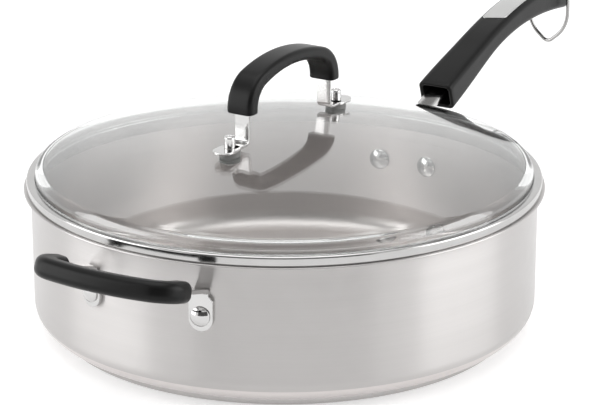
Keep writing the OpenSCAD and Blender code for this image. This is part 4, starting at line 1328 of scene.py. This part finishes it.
class SAUTE_OT_stage(bpy.types.Operator):
    """White floor and sky, softboxes at the sides and above, grey curtains, and the camera"""

    bl_idname = "saute.stage"
    bl_label = "Stage"

    CAMERA = (-1.1425, -0.6940, 0.5219)
    YAW, PITCH, LENS = 0.5392, -0.3260, 145.98
    FLOOR_HALF = 12
    CURTAIN_RADIUS, CURTAIN_HALF_TURN = 2.2, 38
    CURTAIN_HEIGHTS, BORDER_HEIGHTS = (0.02, 1.5), (2.0, 3.2)
    AIM = (0.05, 0, 0.06)
    SIDE_TURN, SIDE_AWAY, SIDE_HEIGHT, SIDE_SIZE = 81, 1.5, 0.55, (1.25, 1.2)
    TOP_PLACE, TOP_SIZE = (0.0, 0.1, 1.6), (1.4, 1.4)

    def execute(self, context):
        scene, k = context.scene, context.scene.saute_stage
        data = bpy.data.cameras.new("Camera")
        data.lens, data.sensor_width, data.clip_end = self.LENS, 36, 20
        camera = linked(bpy.data.objects.new("Camera", data))
        camera.location = self.CAMERA
        level = math.cos(self.PITCH)
        ahead = Vector((level * math.cos(self.YAW), level * math.sin(self.YAW), math.sin(self.PITCH)))
        camera.rotation_euler = ahead.to_track_quat("-Z", "Y").to_euler()
        scene.camera = camera

        far = self.FLOOR_HALF
        corners = [(-far, -far, 0), (far, -far, 0), (far, far, 0), (-far, far, 0)]
        surround("floor", corners, [(0, 1, 2, 3)], paper_material())
        scene.world = studio_world(k.sky)

        facing = math.degrees(self.YAW) + 180
        for name, half, heights, tone in (
            ("Grey curtain", self.CURTAIN_HALF_TURN, self.CURTAIN_HEIGHTS, k.curtain),
            ("Grey border", 180, self.BORDER_HEIGHTS, k.border),
        ):
            curtain(name, self.CURTAIN_RADIUS, (facing - half, facing + half), heights, tone)

        for name, turn in (("Left softbox", self.SIDE_TURN), ("Right softbox", -self.SIDE_TURN)):
            a = math.radians(facing - turn)
            place = (self.SIDE_AWAY * math.cos(a), self.SIDE_AWAY * math.sin(a), self.SIDE_HEIGHT)
            softbox(name, place, self.AIM, self.SIDE_SIZE, k.softbox_power)
        softbox("Top softbox", self.TOP_PLACE, self.AIM, self.TOP_SIZE, k.top_power)
        scene.view_settings.view_transform = "Standard"
        return {"FINISHED"}


class SAUTE_PT_panel(bpy.types.Panel):
    """Lists the pieces and their sizes"""

    bl_idname = "SAUTE_PT_panel"
    bl_label = "Saute Pan"
    bl_space_type = "VIEW_3D"
    bl_region_type = "UI"
    bl_category = "Saute Pan"

    def draw(self, context):
        for operator in OPERATORS:
            self.layout.operator(operator.bl_idname)
        for name, _ in GROUPS:
            box = self.layout.box()
            settings = getattr(context.scene, name)
            for prop in settings.bl_rna.properties:
                if prop.identifier not in ("rna_type", "name"):
                    box.prop(settings, prop.identifier)


OPERATORS = (
    SAUTE_OT_pan_body,
    SAUTE_OT_base,
    SAUTE_OT_lid_glass,
    SAUTE_OT_lid_band,
    SAUTE_OT_lid_handle,
    SAUTE_OT_long_handle,
    SAUTE_OT_hanging_loop,
    SAUTE_OT_helper_handle,
    SAUTE_OT_stage,
)
GROUPS = (
    ("saute_pan", PanSizes),
    ("saute_lid", LidSizes),
    ("saute_handle", HandleSizes),
    ("saute_loop", LoopSizes),
    ("saute_helper", HelperSizes),
    ("saute_finish", Finishes),
    ("saute_stage", StageSettings),
)


def register():
    for name, kind in GROUPS:
        bpy.utils.register_class(kind)
        setattr(bpy.types.Scene, name, PointerProperty(type=kind))
    for operator in OPERATORS:
        bpy.utils.register_class(operator)
    bpy.utils.register_class(SAUTE_PT_panel)


def unregister():
    bpy.utils.unregister_class(SAUTE_PT_panel)
    for operator in reversed(OPERATORS):
        bpy.utils.unregister_class(operator)
    for name, kind in reversed(GROUPS):
        delattr(bpy.types.Scene, name)
        bpy.utils.unregister_class(kind)


def main():
    """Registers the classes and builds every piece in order."""
    register()
    for operator in OPERATORS:
        category, name = operator.bl_idname.split(".")
        getattr(getattr(bpy.ops, category), name)()


if __name__ == "__main__":
    main()
